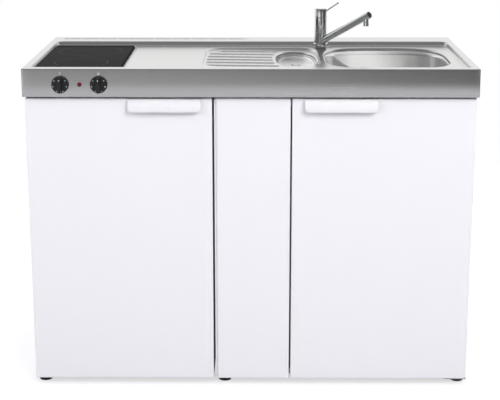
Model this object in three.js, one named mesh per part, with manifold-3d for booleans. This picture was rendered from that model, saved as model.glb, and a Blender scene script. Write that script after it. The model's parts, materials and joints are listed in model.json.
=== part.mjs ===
// A kitchenette unit: a pressed stainless worktop with a two-zone hob, a ribbed drainer, a small waste
// bowl, a main bowl and a lever tap, carried by a built-under refrigerator and a sheet-steel sink cabinet.
// Millimetres. x runs to the right, y from the apron's front face to the back, z up from the floor.
import * as THREE from 'three';
import { mergeVertices } from 'three/addons/utils/BufferGeometryUtils.js';
import Module from 'manifold-3d';

const wasm = await Module();
wasm.setup();

// ---------------------------------------------------------------- driving dimensions

// Whole unit
const UNIT_WIDTH = 1200;
const UNIT_DEPTH = 600;
const RIM_HEIGHT = 890; // floor to the worktop's rim
const FIT = 0.3; // gap between seated pieces
const PIN_PLAY = 0.6; // radial gap round a turning pin

// Worktop, pressed from one sheet
const SHEET = 1;
const APRON_HEIGHT = 75;
const APRON_RETURN = 12; // lower edge turned inwards
const SIDE_RETURN = 3;
const REAR_LIP = 30; // rear edge turned down
const PLAN_RADIUS = 5; // worktop's corners seen from above
const EDGE_RADIUS = 3; // fold between rim and apron
const RIM_SIDE = 17.5;
const RIM_FRONT = 30;
const REAR_LEDGE = 92;
const DECK_DROP = 12; // deck below the rim
const RISER_RUN = 3; // slope of the riser between them
const DECK_RADIUS_FRONT = 13;
const DECK_RADIUS_REAR = 28;

// Vent slots in the rear ledge
const VENT_COUNT = 10;
const VENT_LENGTH = 48;
const VENT_WIDTH = 4;
const VENT_PITCH = 55;
const VENT_INSET = 34; // left end of the worktop to the first slot
const VENT_SETBACK = 41; // slots' centre line from the rear edge

// Drainer
const DRAINER_WIDTH = 324;
const DRAINER_LENGTH = 354;
const DRAINER_INSET = 409; // right end of the worktop to the drainer
const DRAINER_FRONT = 111;
const DRAINER_RADIUS = 70;
const DRAINER_SHALLOW = 4; // depth at the left end
const DRAINER_DEEP = 8; // depth at the right end
const DRAINER_SLOPE_RUN = 6;
const RIB_COUNT = 6;
const RIB_PITCH = 51;
const RIB_HALF_WIDTH = 7;
const RIB_CREST = 2.5; // half width of the flat along its top
const RIB_HEIGHT = 2.6;
const RIB_MARGIN = 13; // left end of a rib from the drainer's edge
const RIB_REAR_RADIUS = 115; // curve that the ribs' left ends follow at the back
const RIB_BOWL_MARGIN = 10;

// Waste bowl
const WASTE_INSET = 474; // right end of the worktop to its centre
const WASTE_CENTRE = 292; // behind the apron's face
const WASTE_HALF_WIDTH = 55;
const WASTE_HALF_LENGTH = 142;
const WASTE_POWER = 2.5; // squareness of the outline, 2 is an ellipse
const WASTE_DEPTH = 25; // floor below the deck
const WASTE_SEAM = 16; // weld line below the deck
const WASTE_FLOOR_RADIUS = 7;
const SIEVE_HOLE = 3.4; // radius
const SIEVE_PITCH = 9.5; // centre hole to a corner hole, along x and y

// Main bowl
const BOWL_INSET = 221;
const BOWL_CENTRE = 278;
const BOWL_HALF_WIDTH = 171.5;
const BOWL_HALF_LENGTH = 185;
const BOWL_POWER = 3.35;
const BOWL_DEPTH = 150;
const BOWL_SEAM = 10;
const BOWL_TAPER = 0.05;
const BOWL_FLOOR_RADIUS = 38;
const BOWL_LIP = 6; // radius of the edge round each bowl
const DRAIN_SEAT_RADIUS = 62;
const DRAIN_SEAT_DROP = 6;

// Bowl drain, strainer and trap
const DRAIN_HOLE = 44;
const DRAIN_FLANGE = 56;
const DRAIN_CUP_RADIUS = 42;
const DRAIN_CUP_DEPTH = 46;
const DRAIN_WALL = 2;
const SPIGOT_RADIUS = 20;
const SPIGOT_LENGTH = 28;
const BASKET_HEIGHT = 36;
const TRAP_RADIUS = 33;
const TRAP_HEIGHT = 84;
const TRAP_SOCKET = 34; // height of the collar round the spigot
const OUTLET_RADIUS = 16;
const LINK_RADIUS = 14;
const LINK_BEND = 34;
const LINK_CUP_RADIUS = 26;
const LINK_CUP_DEPTH = 14;
const LINK_OFFSET = 90; // sideways run of the pipe before it turns to the trap
const SOCKET_WALL = 6; // collars on the trap
const SOCKET_PLAY = 0.5;
const TRAP_SOCKET_OVERLAP = 10;
const LINK_HEIGHT_SHARE = 0.62; // inlet's height in the trap's body
const OUTLET_HEIGHT_SHARE = 0.72;

// Hob
const HOB_INSET = 24; // left end of the worktop to the glass
const HOB_FRONT = 66;
const HOB_WIDTH = 229;
const HOB_LENGTH = 411;
const HOB_THICKNESS = 4;
const HOB_RADIUS = 5;
const HOB_OVERLAP = 5; // glass over the edge of its cut-out
const TRAY_DEPTH = 35;
const TRAY_FLANGE = 12;
const TRAY_WIRE_HOLE = 7; // radius
const TRAY_WIRE_SPREAD = 40;
const ZONE_X = 114; // zones' centre line from the left edge of the glass
const ZONE_FRONT_Y = 90; // from the front edge of the glass
const ZONE_REAR_Y = 298;
const ZONE_FRONT_RADIUS = 72.5;
const ZONE_REAR_RADIUS = 90;
const HEATER_RIM = 5; // insulating rim outside the heated zone

// Controls in the apron
const CONTROL_DROP = 41.5; // below the rim
const KNOB_LEFT_INSET = 102;
const KNOB_SPACING = 101;
const KNOB_RADIUS = 23;
const KNOB_PROUD = 24; // front of the grip before the apron
const KNOB_SKIRT = 9;
const KNOB_GRIP_WIDTH = 11;
const KNOB_GRIP_TAPER = 0.35; // share of the width lost at the grip's ends
const KNOB_GRIP_INSET = 2; // grip's ends from the knob's edge
const KNOB_STANDOFF = 0.6;
const SPINDLE_RADIUS = 3;
const SPINDLE_LENGTH = 30;
const REGULATOR_SIZE = 40;
const REGULATOR_DEPTH = 44;
const REGULATOR_BUSH = 8; // radius
const REGULATOR_TAB = { pitch: 8, width: 4.8, length: 9, thickness: 1 };
const LAMP_RADIUS = 6;
const LAMP_HOLE = 5.2;
const LAMP_LENGTH = 24; // behind the apron's face

// Tap
const TAP_INSET = 396; // right end of the worktop to its axis
const TAP_SETBACK = 126; // from the rear edge
const TAP_BASE_RADIUS = 21.5;
const TAP_BASE_HEIGHT = 13;
const TAP_RADIUS = 19;
const TAP_SEAM = 88; // deck to the joint under the lever cap
const TAP_TOP = 115;
const TAP_CORE_RADIUS = 15.5;
const TAP_SHANK_RADIUS = 15;
const TAP_SHANK_LENGTH = 42;
const TAP_HOLE = 17.5;
const SPOUT_RADIUS = 10.2;
const SPOUT_RISE = 26.6; // degrees above level
const SPOUT_START = 16; // spout's centre line on the tap's axis, above the deck
const SPOUT_REACH = 194;
const SPOUT_AZIMUTH = -47.7; // degrees from +x
const AERATOR_BACK = 12; // aerator's axis before the spout's end
const AERATOR_RADIUS = 8.4;
const AERATOR_HEIGHT = 10;
const AERATOR_MARGIN = 1; // straight part of its boss below the tube's underside
const LEVER_AZIMUTH = -46;
const LEVER_RISE = 30;
const LEVER_TIP_REACH = 69.5;
const LEVER_TIP_HEIGHT = 137;
const LEVER_RADIUS = 2.3;
const LEVER_BALL = 3;
const CAP_WALL = 2;

// Fronts
const FRONT_GAP = 5.6; // apron's lower edge to the top of the doors
const FRONT_CLEARANCE = 20.4; // floor to the lower edge of the doors
const FRONT_SETBACK = 15; // doors' faces behind the apron's
const SIDE_REVEAL = 5; // doors' outer edges from the ends of the worktop
const FRIDGE_DOOR_WIDTH = 493;
const CABINET_GAP = 11.4; // refrigerator door to fixed panel
const PANEL_WIDTH = 196.1;
const DOOR_GAP = 4.5;
const FRONT_EDGE_RADIUS = 2.5;
const FRONT_SHEET = 1;
const SINK_DOOR_DEPTH = 20;
const SINK_CABINET_SETBACK = 38.5; // carcass behind the apron's face

// Handles
const HANDLE_WIDTH = 191;
const HANDLE_HEIGHT = 34;
const HANDLE_PROUD = 19;
const HANDLE_THICKNESS = 3;
const HANDLE_CORNER = 12;
const HANDLE_PLATE = 2; // plate against the door behind the lip
const FRIDGE_HANDLE_INSET = 30; // from the door's free edge
const SINK_HANDLE_INSET = 33;

// Hinges
const HINGE_PLATE = 2.5;
const HINGE_PIN = 3; // radius
const HINGE_PIN_LENGTH = 12; // into the door
const FRIDGE_PIVOT_INSET = 10; // from the door's outer edge
const FRIDGE_PIVOT_SETBACK = 30; // behind the door's face
const FRIDGE_HINGE_LENGTH = 36;
const SINK_PIVOT_INSET = 6;
const SINK_PIVOT_SETBACK = 14;
const SINK_HINGE_LENGTH = 62;
const HINGE_MARGIN = 9; // plate before the pin's axis
const HINGE_CORNER = 6;
const FRIDGE_HINGE_REACH = { top: 38, bottom: 47 }; // plates behind each cabinet's front
const SINK_HINGE_REACH = { top: 36, bottom: 46 };

// Bent plates on the cabinets' tops that show in the gap between them
const BRACKET_SHEET = 1.5;
const BRACKET_CORNER = 5;
const BLANK_PLATE = { inset: 18, width: 32, before: 39, behind: 20 };
const PANEL_LUG = { overhang: 7, width: 66, before: 18, behind: 26 };

// Refrigerator
const CASE_DROP = 4; // top of the cabinets below the apron's lower edge
const CASE_SETBACK = 63; // refrigerator's front behind the apron's face
const CASE_DEPTH = 482;
const CASE_INSET = 4; // from the end of the worktop
const CASE_SHEET = 1;
const CASE_BASE = 19.4; // floor to the underside of both cabinets
const INSULATION = 40;
const CABIN_RADIUS = 15;
const CABIN_FLOOR = 70; // floor to the cabin's floor
const NICHE_DEPTH = 150; // compressor's space at the back
const NICHE_HEIGHT = 210;
const FRIDGE_DOOR_DEPTH = 40;
const GASKET_WIDTH = 12;
const GASKET_INSET = 12;
const DOOR_FIELD_DEPTH = 15; // raised field on the door's inner side
const DOOR_FIELD_GAP = 7.5; // raised field inside the cabin's sides
const DOOR_RIB_DEPTH = 42;
const DOOR_RIB_WIDTH = 7;
const DOOR_RIB_TOP = 520;
const DOOR_FIELD_MARGIN = { bottom: 12, top: 8 }; // inside the cabin's mouth
const TRAY_PEG = { reach: 3, setback: 10, depth: 16, lift: 8, height: 10 }; // hooks into the door's ribs
const TRAY_WALL = 2.5;
const TRAY_SIDE_GAP = 0.6;
const DOOR_TRAYS = [ // lift is from the door's lower edge
  { lift: 74, height: 75 }, // bottle rack
  { lift: 420, height: 31 }, // small shelf
];
const SHELF_HEIGHTS = [300, 470]; // above the floor
const SHELF_THICKNESS = 5;
const SHELF_SETBACK = 72; // behind the refrigerator's front
const SHELF_REAR_GAP = 6;
const SHELF_SIDE_GAP = 0.6;
const SHELF_TRIM = { before: 5, behind: 7, below: 5, above: 2 };
const LEDGE_WIDTH = 8;
const LEDGE_HEIGHT = 6;
const FREEZER_HEIGHT = 95;
const FREEZER_WALL = 2;
const FREEZER_SIDE_GAP = 8;
const FREEZER_EAR = 10; // side walls before the box's mouth
const FREEZER_REAR_GAP = 8;
const FREEZER_CORNER = 6;
const FLAP_LENGTH = 75; // pivot to free edge
const FLAP_THICKNESS = 3;
const FLAP_CLEARANCE = 8; // open flap to the closed door
const FLAP_PIN = 2;
const FLAP_BARREL = 3;
const FLAP_SIDE_GAP = 2.4;
const FLAP_DROP = 14; // pivot below the cabin's ceiling
const FLAP_GRIP = { width: 70, depth: 5.5, height: 3, lift: 5 };
const THERMOSTAT_HEIGHT = 590; // knob's axis above the floor
const THERMOSTAT_KNOB = 16;
const THERMOSTAT_KNOB_DEPTH = 14;
const THERMOSTAT_SIDE = 22; // axis from the cabin's wall
const THERMOSTAT_SETBACK = 52;
const THERMOSTAT_CASE = { width: 42, height: 48, depth: 90, corner: 5 };
const COMPRESSOR_RADIUS = 64;
const COMPRESSOR_HEIGHT = 150;
const COMPRESSOR_OFFSET = -60; // from the refrigerator's middle
const COMPRESSOR_MOUNT = { radius: 8, height: 7 };
const COMPRESSOR_RELAY = { width: 40, depth: 20, low: 50, high: 100 };
const CONDENSER_ROWS = 6;
const CONDENSER_TUBE = 2.6;
const CONDENSER_STANDOFF = 22;
const CONDENSER_WIRES = 6;
const CONDENSER_WIRE = 1.6;
const CONDENSER_SIDE = 45; // from the refrigerator's sides
const CONDENSER_END = 25; // below its top and above the compressor's niche
const CONDENSER_WIRE_END = 12;
const CONDENSER_WIRE_SIDE = 30;
const CONDENSER_BRACKET = { inset: 40, width: 18, height: 10 };
const REAR_FOOT = { radius: 15.5, side: 36, back: 30 };

// Sink cabinet
const CABINET_SHEET = 1;
const CABINET_FLANGE = 20;
const CABINET_FOOT_FLANGE = 34; // lower flange, over the feet
const CABINET_REVEAL = { left: 1.4, right: 2 }; // carcass beyond the panel and short of the worktop's end
const CABINET_FLOOR = 40; // floor to the cabinet's floor sheet
const CABINET_REAR_GAP = 10;
const CABINET_FLOOR_LIP = 15;
const PIPEWAY = { halfWidth: 60, below: 40, above: 60, corner: 12 };
const TOP_RAIL_HEIGHT = 26;
const TOP_RAIL_DEPTH = 32;
const CATCH = { inset: 18, width: 40, height: 15, depth: 26 };
const SWAGE = { inset: 60, crest: 8, foot: 14, depth: 4 }; // stiffening rib of the door's inner sheet

// Feet and worktop rails
const FOOT_RADIUS = 17.5;
const FOOT_PAD = 8;
const FOOT_STEM = 5;
const FOOT_SETBACK = 62.5;
const FOOT_INSET = 20; // from the sides of each cabinet
const RAIL_WIDTH = 12;
const RAIL_SHEET = 1.5;
const RAIL_FRONT = 105;
const RAIL_REAR = 560;
const MIDDLE_RAIL_INSET = 64; // from the refrigerator's right side
const MIDDLE_RAIL_MARGIN = 20; // its rear end before the worktop's rear ledge
const CROSSBAR_HEIGHT = 40;

// ---------------------------------------------------------------- places worked out from them

const LEFT = -UNIT_WIDTH / 2;
const RIGHT = UNIT_WIDTH / 2;
const DECK = RIM_HEIGHT - DECK_DROP;
const APRON_BOTTOM = RIM_HEIGHT - APRON_HEIGHT;
const DECK_UNDERSIDE = DECK - SHEET;
const RIM_UNDERSIDE = RIM_HEIGHT - SHEET;
const CONTROL_Z = RIM_HEIGHT - CONTROL_DROP;

const drainer = {
  x0: RIGHT - DRAINER_INSET - DRAINER_WIDTH,
  x1: RIGHT - DRAINER_INSET,
  y0: DRAINER_FRONT,
  y1: DRAINER_FRONT + DRAINER_LENGTH,
};
const waste = { x: RIGHT - WASTE_INSET, y: WASTE_CENTRE, z: DECK - WASTE_SEAM };
const bowl = { x: RIGHT - BOWL_INSET, y: BOWL_CENTRE, floor: DECK - BOWL_DEPTH };
const tap = { x: RIGHT - TAP_INSET, y: UNIT_DEPTH - TAP_SETBACK };
const glass = {
  x0: LEFT + HOB_INSET,
  x1: LEFT + HOB_INSET + HOB_WIDTH,
  y0: HOB_FRONT,
  y1: HOB_FRONT + HOB_LENGTH,
};
const cutout = inset(glass, HOB_OVERLAP);
const knobs = [LEFT + KNOB_LEFT_INSET, LEFT + KNOB_LEFT_INSET + KNOB_SPACING];
const lampX = (knobs[0] + knobs[1]) / 2;

const FRONT_TOP = APRON_BOTTOM - FRONT_GAP;
const fridgeDoor = {
  x0: LEFT + SIDE_REVEAL,
  x1: LEFT + SIDE_REVEAL + FRIDGE_DOOR_WIDTH,
  y0: FRONT_SETBACK,
  y1: FRONT_SETBACK + FRIDGE_DOOR_DEPTH,
  z0: FRONT_CLEARANCE,
  z1: FRONT_TOP,
};
const panel = {
  x0: fridgeDoor.x1 + CABINET_GAP,
  x1: fridgeDoor.x1 + CABINET_GAP + PANEL_WIDTH,
  y0: FRONT_SETBACK,
  y1: SINK_CABINET_SETBACK,
  z0: FRONT_CLEARANCE,
  z1: FRONT_TOP,
};
const sinkDoor = {
  x0: panel.x1 + DOOR_GAP,
  x1: RIGHT - SIDE_REVEAL,
  y0: FRONT_SETBACK,
  y1: FRONT_SETBACK + SINK_DOOR_DEPTH,
  z0: FRONT_CLEARANCE,
  z1: FRONT_TOP,
};
const CASE_TOP = APRON_BOTTOM - CASE_DROP;
const fridge = {
  x0: LEFT + CASE_INSET,
  x1: fridgeDoor.x1,
  y0: CASE_SETBACK,
  y1: CASE_SETBACK + CASE_DEPTH,
  z0: CASE_BASE,
  z1: CASE_TOP,
};
const cabin = {
  x0: fridge.x0 + INSULATION,
  x1: fridge.x1 - INSULATION,
  y0: fridge.y0,
  y1: fridge.y1 - INSULATION,
  z0: CABIN_FLOOR,
  z1: fridge.z1 - INSULATION,
};
const sinkCabinet = {
  x0: panel.x0 - CABINET_REVEAL.left,
  x1: RIGHT - CABINET_REVEAL.right,
  y0: SINK_CABINET_SETBACK,
  y1: UNIT_DEPTH - CABINET_REAR_GAP,
  z0: CASE_BASE,
  z1: CASE_TOP,
};
const doorField = {
  x0: cabin.x0 + DOOR_FIELD_GAP,
  x1: cabin.x1 - DOOR_FIELD_GAP,
  y1: fridgeDoor.y1 + DOOR_FIELD_DEPTH,
};
const flapAxis = {
  y: doorField.y1 + FLAP_CLEARANCE + FLAP_LENGTH,
  z: cabin.z1 - FLAP_DROP,
};
const fridgePivot = {
  x: fridgeDoor.x0 + FRIDGE_PIVOT_INSET,
  y: fridgeDoor.y0 + FRIDGE_PIVOT_SETBACK,
};
const sinkPivot = {
  x: sinkDoor.x1 - SINK_PIVOT_INSET,
  y: sinkDoor.y0 + SINK_PIVOT_SETBACK,
};
const drainSeat = bowl.floor - DRAIN_SEAT_DROP;
const spigotEnd = drainSeat - DRAIN_CUP_DEPTH - SPIGOT_LENGTH;
const trapTop = spigotEnd + TRAP_SOCKET - TRAP_SOCKET_OVERLAP;
const trapBody = { z1: spigotEnd - 2, z0: spigotEnd - 2 - TRAP_HEIGHT };
const linkInletZ = trapBody.z0 + TRAP_HEIGHT * LINK_HEIGHT_SHARE;
const outletZ = trapBody.z0 + TRAP_HEIGHT * OUTLET_HEIGHT_SHARE;
const aeratorBoss = AERATOR_RADIUS * Math.tan(radians(SPOUT_RISE)) + AERATOR_MARGIN;

// ---------------------------------------------------------------- shapes

const WELD = 1e-4;
const AXES = {
  x: new THREE.Matrix4().makeBasis(vec(0, 1, 0), vec(0, 0, 1), vec(1, 0, 0)),
  y: new THREE.Matrix4().makeBasis(vec(1, 0, 0), vec(0, 0, 1), vec(0, -1, 0)),
  z: new THREE.Matrix4(),
};

function vec(x, y, z) {
  return new THREE.Vector3(x, y, z);
}

function radians(degrees) {
  return THREE.MathUtils.degToRad(degrees);
}

/** A box made smaller by the same amount on every side that it states. */
function inset(region, amount) {
  const smaller = { ...region };
  for (const axis of ['x', 'y', 'z']) {
    if (smaller[`${axis}0`] !== undefined) smaller[`${axis}0`] += amount;
    if (smaller[`${axis}1`] !== undefined) smaller[`${axis}1`] -= amount;
  }
  return smaller;
}

/** A closed geometry as a solid that can be joined and cut. */
function solid(geometry) {
  const loose = geometry.index ? geometry.toNonIndexed() : geometry;
  const bare = new THREE.BufferGeometry();
  bare.setAttribute('position', loose.getAttribute('position'));
  const merged = mergeVertices(bare, WELD);
  const index = Array.from(merged.index.array);
  const triangles = [];
  for (let i = 0; i < index.length; i += 3) {
    const [a, b, c] = index.slice(i, i + 3);
    if (a !== b && b !== c && c !== a) triangles.push(a, b, c);
  }
  const make = (corners) =>
    new wasm.Manifold(
      new wasm.Mesh({
        numProp: 3,
        vertProperties: new Float32Array(merged.attributes.position.array),
        triVerts: new Uint32Array(corners),
      }),
    );
  const made = make(triangles);
  return made.volume() < 0 ? make(triangles.reverse()) : made;
}

function join(first, ...others) {
  return others.reduce((whole, other) => whole.add(other), first);
}

function cut(from, ...tools) {
  return tools.reduce((rest, tool) => rest.subtract(tool), from);
}

function box(x0, x1, y0, y1, z0, z1) {
  const geometry = new THREE.BoxGeometry(x1 - x0, y1 - y0, z1 - z0);
  return solid(geometry.translate((x0 + x1) / 2, (y0 + y1) / 2, (z0 + z1) / 2));
}

function block(region) {
  return box(region.x0, region.x1, region.y0, region.y1, region.z0, region.z1);
}

/** A flat outline pushed along an axis: (y, z) along x, (x, z) along y, (x, y) along z. */
function prism(shape, axis, from, to, curveSegments = 4) {
  const geometry = new THREE.ExtrudeGeometry(shape, { depth: to - from, bevelEnabled: false, curveSegments });
  geometry.applyMatrix4(AXES[axis]);
  const start = axis === 'y' ? to : from;
  const shift = { x: [start, 0, 0], y: [0, start, 0], z: [0, 0, start] }[axis];
  return solid(geometry.translate(...shift));
}

function polygon(points) {
  return new THREE.Shape(points.map(([a, b]) => new THREE.Vector2(a, b)));
}

/** A rectangle with round corners; the lower two can have a radius of their own. */
function roundRectangle(a0, a1, b0, b1, radius, lower = radius) {
  const shape = new THREE.Shape();
  shape.moveTo(a0 + lower, b0);
  shape.lineTo(a1 - lower, b0);
  shape.absarc(a1 - lower, b0 + lower, lower, -Math.PI / 2, 0, false);
  shape.lineTo(a1, b1 - radius);
  if (radius > 0) shape.absarc(a1 - radius, b1 - radius, radius, 0, Math.PI / 2, false);
  shape.lineTo(a0 + radius, b1);
  if (radius > 0) shape.absarc(a0 + radius, b1 - radius, radius, Math.PI / 2, Math.PI, false);
  shape.lineTo(a0, b0 + lower);
  shape.absarc(a0 + lower, b0 + lower, lower, Math.PI, 1.5 * Math.PI, false);
  return shape;
}

/** A profile of [radius, height] pairs turned about a line through origin along direction. */
function turned(profile, { origin = [0, 0, 0], direction = [0, 0, 1], segments = 32 } = {}) {
  const closed = profile[0][0] > 0 || profile.at(-1)[0] > 0;
  const points = (closed ? [...profile, profile[0]] : profile).map(([r, h]) => new THREE.Vector2(r, h));
  const geometry = new THREE.LatheGeometry(points, segments);
  const turn = new THREE.Quaternion().setFromUnitVectors(vec(0, 1, 0), vec(...direction).normalize());
  return solid(geometry.applyQuaternion(turn).translate(...origin));
}

function rod(radius, from, to, options = {}) {
  return turned([[0, from], [radius, from], [radius, to], [0, to]], { segments: 12, ...options });
}

/** A closed body through rings of equal numbers of points, with a flat end at each side. */
function loft(rings) {
  const count = rings[0].length;
  const points = rings.flat();
  const triangles = [];
  for (let ring = 0; ring + 1 < rings.length; ring += 1) {
    for (let i = 0; i < count; i += 1) {
      const a = ring * count + i;
      const b = ring * count + ((i + 1) % count);
      triangles.push(a, b, b + count, a, b + count, a + count);
    }
  }
  const last = (rings.length - 1) * count;
  const firstCentre = points.push(centroid(rings[0])) - 1;
  const lastCentre = points.push(centroid(rings.at(-1))) - 1;
  for (let i = 0; i < count; i += 1) {
    const next = (i + 1) % count;
    triangles.push(firstCentre, next, i, lastCentre, last + i, last + next);
  }
  const geometry = new THREE.BufferGeometry().setFromPoints(points);
  return solid(geometry.setIndex(triangles));
}

function centroid(points) {
  return points.reduce((sum, p) => sum.add(p), vec(0, 0, 0)).divideScalar(points.length);
}

/** A level ring: a rectangle whose front and rear corners have their own radii. */
function rectangleRing(region, front, rear, z, grow = 0, steps = 3) {
  const { x0, x1, y0, y1 } = inset(region, -grow);
  const corners = [
    [x1, y0, front, -1, 1, -0.5],
    [x1, y1, rear, -1, -1, 0],
    [x0, y1, rear, 1, -1, 0.5],
    [x0, y0, front, 1, 1, 1],
  ];
  const height = typeof z === 'function' ? z : () => z;
  return corners.flatMap(([x, y, base, sx, sy, start]) => {
    const radius = Math.max(base + grow, 0.2);
    return Array.from({ length: steps + 1 }, (_, k) => {
      const angle = (start + (0.5 * k) / steps) * Math.PI;
      const px = x + sx * radius + radius * Math.cos(angle);
      const py = y + sy * radius + radius * Math.sin(angle);
      return vec(px, py, height(px));
    });
  });
}

/** A ring of a rounded-square outline about a centre. */
function ovalRing({ x, y }, halfWidth, halfLength, power, z, steps = 32) {
  const height = typeof z === 'function' ? z : () => z;
  const bend = (value) => Math.sign(value) * Math.abs(value) ** (2 / power);
  return Array.from({ length: steps }, (_, k) => {
    const angle = (2 * Math.PI * k) / steps;
    const px = x + halfWidth * bend(Math.cos(angle));
    const py = y + halfLength * bend(Math.sin(angle));
    return vec(px, py, height(px));
  });
}

/** Corner points of a route with each inner corner turned into an arc. */
function roundedRoute(corners, radius, steps = 4) {
  const points = corners.map((c) => vec(...c));
  const route = [points[0]];
  for (let i = 1; i + 1 < points.length; i += 1) {
    const before = points[i - 1].clone().sub(points[i]);
    const after = points[i + 1].clone().sub(points[i]);
    const reach = Math.min(radius, before.length() * 0.49, after.length() * 0.49);
    const start = points[i].clone().addScaledVector(before.normalize(), reach);
    const end = points[i].clone().addScaledVector(after.normalize(), reach);
    const arc = new THREE.QuadraticBezierCurve3(start, points[i], end);
    route.push(...arc.getPoints(steps));
  }
  route.push(points.at(-1));
  return route;
}

/** A round tube along a route. */
function pipe(route, radius, sides = 10) {
  let side = null;
  const rings = route.map((point, i) => {
    const ahead = route[Math.min(i + 1, route.length - 1)];
    const behind = route[Math.max(i - 1, 0)];
    const along = ahead.clone().sub(behind).normalize();
    const start = side ?? (Math.abs(along.z) < 0.9 ? vec(0, 0, 1) : vec(0, 1, 0));
    side = start.clone().addScaledVector(along, -start.dot(along)).normalize();
    const across = along.clone().cross(side);
    return Array.from({ length: sides }, (_, k) => {
      const angle = (2 * Math.PI * k) / sides;
      const out = side.clone().multiplyScalar(radius * Math.cos(angle));
      return point.clone().add(out.addScaledVector(across, radius * Math.sin(angle)));
    });
  });
  return loft(rings);
}

/** A folded sheet-metal front: a face with rounded edges and four sides, open at the back. */
function pan(region, wall = FRONT_SHEET, radius = FRONT_EDGE_RADIUS) {
  const hull = (grow) => {
    const { x0, x1, z0, z1 } = inset(region, -grow);
    const bend = radius + grow;
    const ring = (edge, y) =>
      [[x1 - edge, z0 + edge], [x1 - edge, z1 - edge], [x0 + edge, z1 - edge], [x0 + edge, z0 + edge]]
        .map(([x, z]) => vec(x, y, z));
    const arc = [0, 1, 2, 3].map((k) => {
      const angle = radians(30 * k);
      return ring(bend * (1 - Math.sin(angle)), region.y0 - grow + bend * (1 - Math.cos(angle)));
    });
    return loft([...arc, ring(0, region.y1 + (grow < 0 ? 1 : 0))]);
  };
  return cut(hull(0), hull(-wall));
}

// ---------------------------------------------------------------- finishes and placing

const STAINLESS = { color: 0xc4c5c4, roughness: 0.34, metalness: 1 };
const GALVANISED = { color: 0xa9acae, roughness: 0.5, metalness: 0.9 };
const CHROME = { color: 0xdfe2e6, roughness: 0.08, metalness: 1 };
const WHITE_ENAMEL = { color: 0xf6f6f8, roughness: 0.35, metalness: 0 };
const WHITE_PLASTIC = { color: 0xf1f1f2, roughness: 0.45, metalness: 0 };
const CLEAR_PLASTIC = { color: 0xdfe8ea, roughness: 0.2, metalness: 0 };
const BLACK_PLASTIC = { color: 0x1b1c1d, roughness: 0.45, metalness: 0 };
const GREY_PLASTIC = { color: 0x9a9c9e, roughness: 0.5, metalness: 0 };
const RUBBER = { color: 0xd9dadb, roughness: 0.8, metalness: 0 };
const BLACK_GLASS = { color: 0x2b2c2d, roughness: 0.12, metalness: 0 };
const RED_LENS = { color: 0x82142d, roughness: 0.25, metalness: 0 };
const INSULATOR = { color: 0xd8d3c6, roughness: 0.9, metalness: 0 };
const BLACK_STEEL = { color: 0x202122, roughness: 0.6, metalness: 0.5 };
const ALUMINIUM = { color: 0xcfd2d4, roughness: 0.4, metalness: 0.9 };

/** Adds a solid to a group as a named mesh. */
function place(group, name, shape, finish, position = [0, 0, 0]) {
  const source = shape.getMesh();
  const geometry = new THREE.BufferGeometry();
  geometry.setAttribute('position', new THREE.BufferAttribute(source.vertProperties, 3));
  geometry.setIndex(new THREE.BufferAttribute(source.triVerts, 1));
  const material = new THREE.MeshStandardMaterial({ ...finish, flatShading: true });
  const mesh = new THREE.Mesh(geometry, material);
  mesh.name = name;
  mesh.position.set(...position);
  group.add(mesh);
}

function group(position = [0, 0, 0], turn = 0) {
  const made = new THREE.Group();
  made.position.set(...position);
  made.rotation.z = radians(turn);
  return made;
}

// ---------------------------------------------------------------- worktop and bowls

function drainerFloor(x) {
  const share = THREE.MathUtils.clamp((x - drainer.x0) / DRAINER_WIDTH, 0, 1);
  return DECK - THREE.MathUtils.lerp(DRAINER_SHALLOW, DRAINER_DEEP, share);
}

/** Half the width of the waste bowl at a distance along y from its centre. */
function wasteHalfWidthAt(y) {
  const share = Math.min(Math.abs(y - waste.y) / WASTE_HALF_LENGTH, 1);
  return WASTE_HALF_WIDTH * (1 - share ** WASTE_POWER) ** (1 / WASTE_POWER);
}

/** Where a rib starts, so that the ribs' left ends follow the drainer's corners. */
function ribStart(y) {
  const edge = drainer.x0 + RIB_MARGIN;
  const front = DRAINER_RADIUS - RIB_MARGIN;
  const frontCentre = drainer.y0 + DRAINER_RADIUS;
  const rearCentre = drainer.y1 - RIB_MARGIN - RIB_REAR_RADIUS;
  if (y < frontCentre) return edge + front - Math.sqrt(front ** 2 - (frontCentre - y) ** 2);
  if (y > rearCentre) return edge + RIB_REAR_RADIUS - Math.sqrt(RIB_REAR_RADIUS ** 2 - (y - rearCentre) ** 2);
  return edge;
}

/** One drainer rib, a rounded bar raised in the sheet; depth is how far below the top skin. */
function rib(y, depth) {
  const x0 = ribStart(y);
  const x1 = waste.x - RIB_BOWL_MARGIN - Math.max(wasteHalfWidthAt(y), WASTE_HALF_WIDTH * 0.7);
  const ring = (half, lift) => {
    const region = { x0: x0 - half, x1: x1 + half, y0: y - half, y1: y + half };
    return rectangleRing(region, half - 0.05, half - 0.05, (x) => drainerFloor(x) + lift, 0, 2);
  };
  const slope = RIB_HALF_WIDTH - depth * 0.6;
  const crest = RIB_CREST - depth * 0.4;
  return loft([ring(slope, -3), ring(slope, -depth), ring(crest, RIB_HEIGHT - depth)]);
}

/** The edge of a bowl: a lip that rolls over from the deck and ends at the weld line. */
function bowlMouth(centre, halfWidth, halfLength, power, surface, seam, depth) {
  const ring = (grow, z) => ovalRing(centre, halfWidth + grow, halfLength + grow, power, z);
  const radius = BOWL_LIP - depth;
  const rolled = [0, 1, 2].map((k) => {
    const angle = radians(45 * k);
    const drop = BOWL_LIP - radius * Math.cos(angle);
    return ring(BOWL_LIP - radius * Math.sin(angle), (x) => surface(x) - drop);
  });
  const above = ring(BOWL_LIP, (x) => surface(x) + 6);
  const bottom = ring(depth, () => (depth > 0 ? seam : APRON_BOTTOM - 5));
  return loft([above, ...rolled, bottom]);
}

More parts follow.
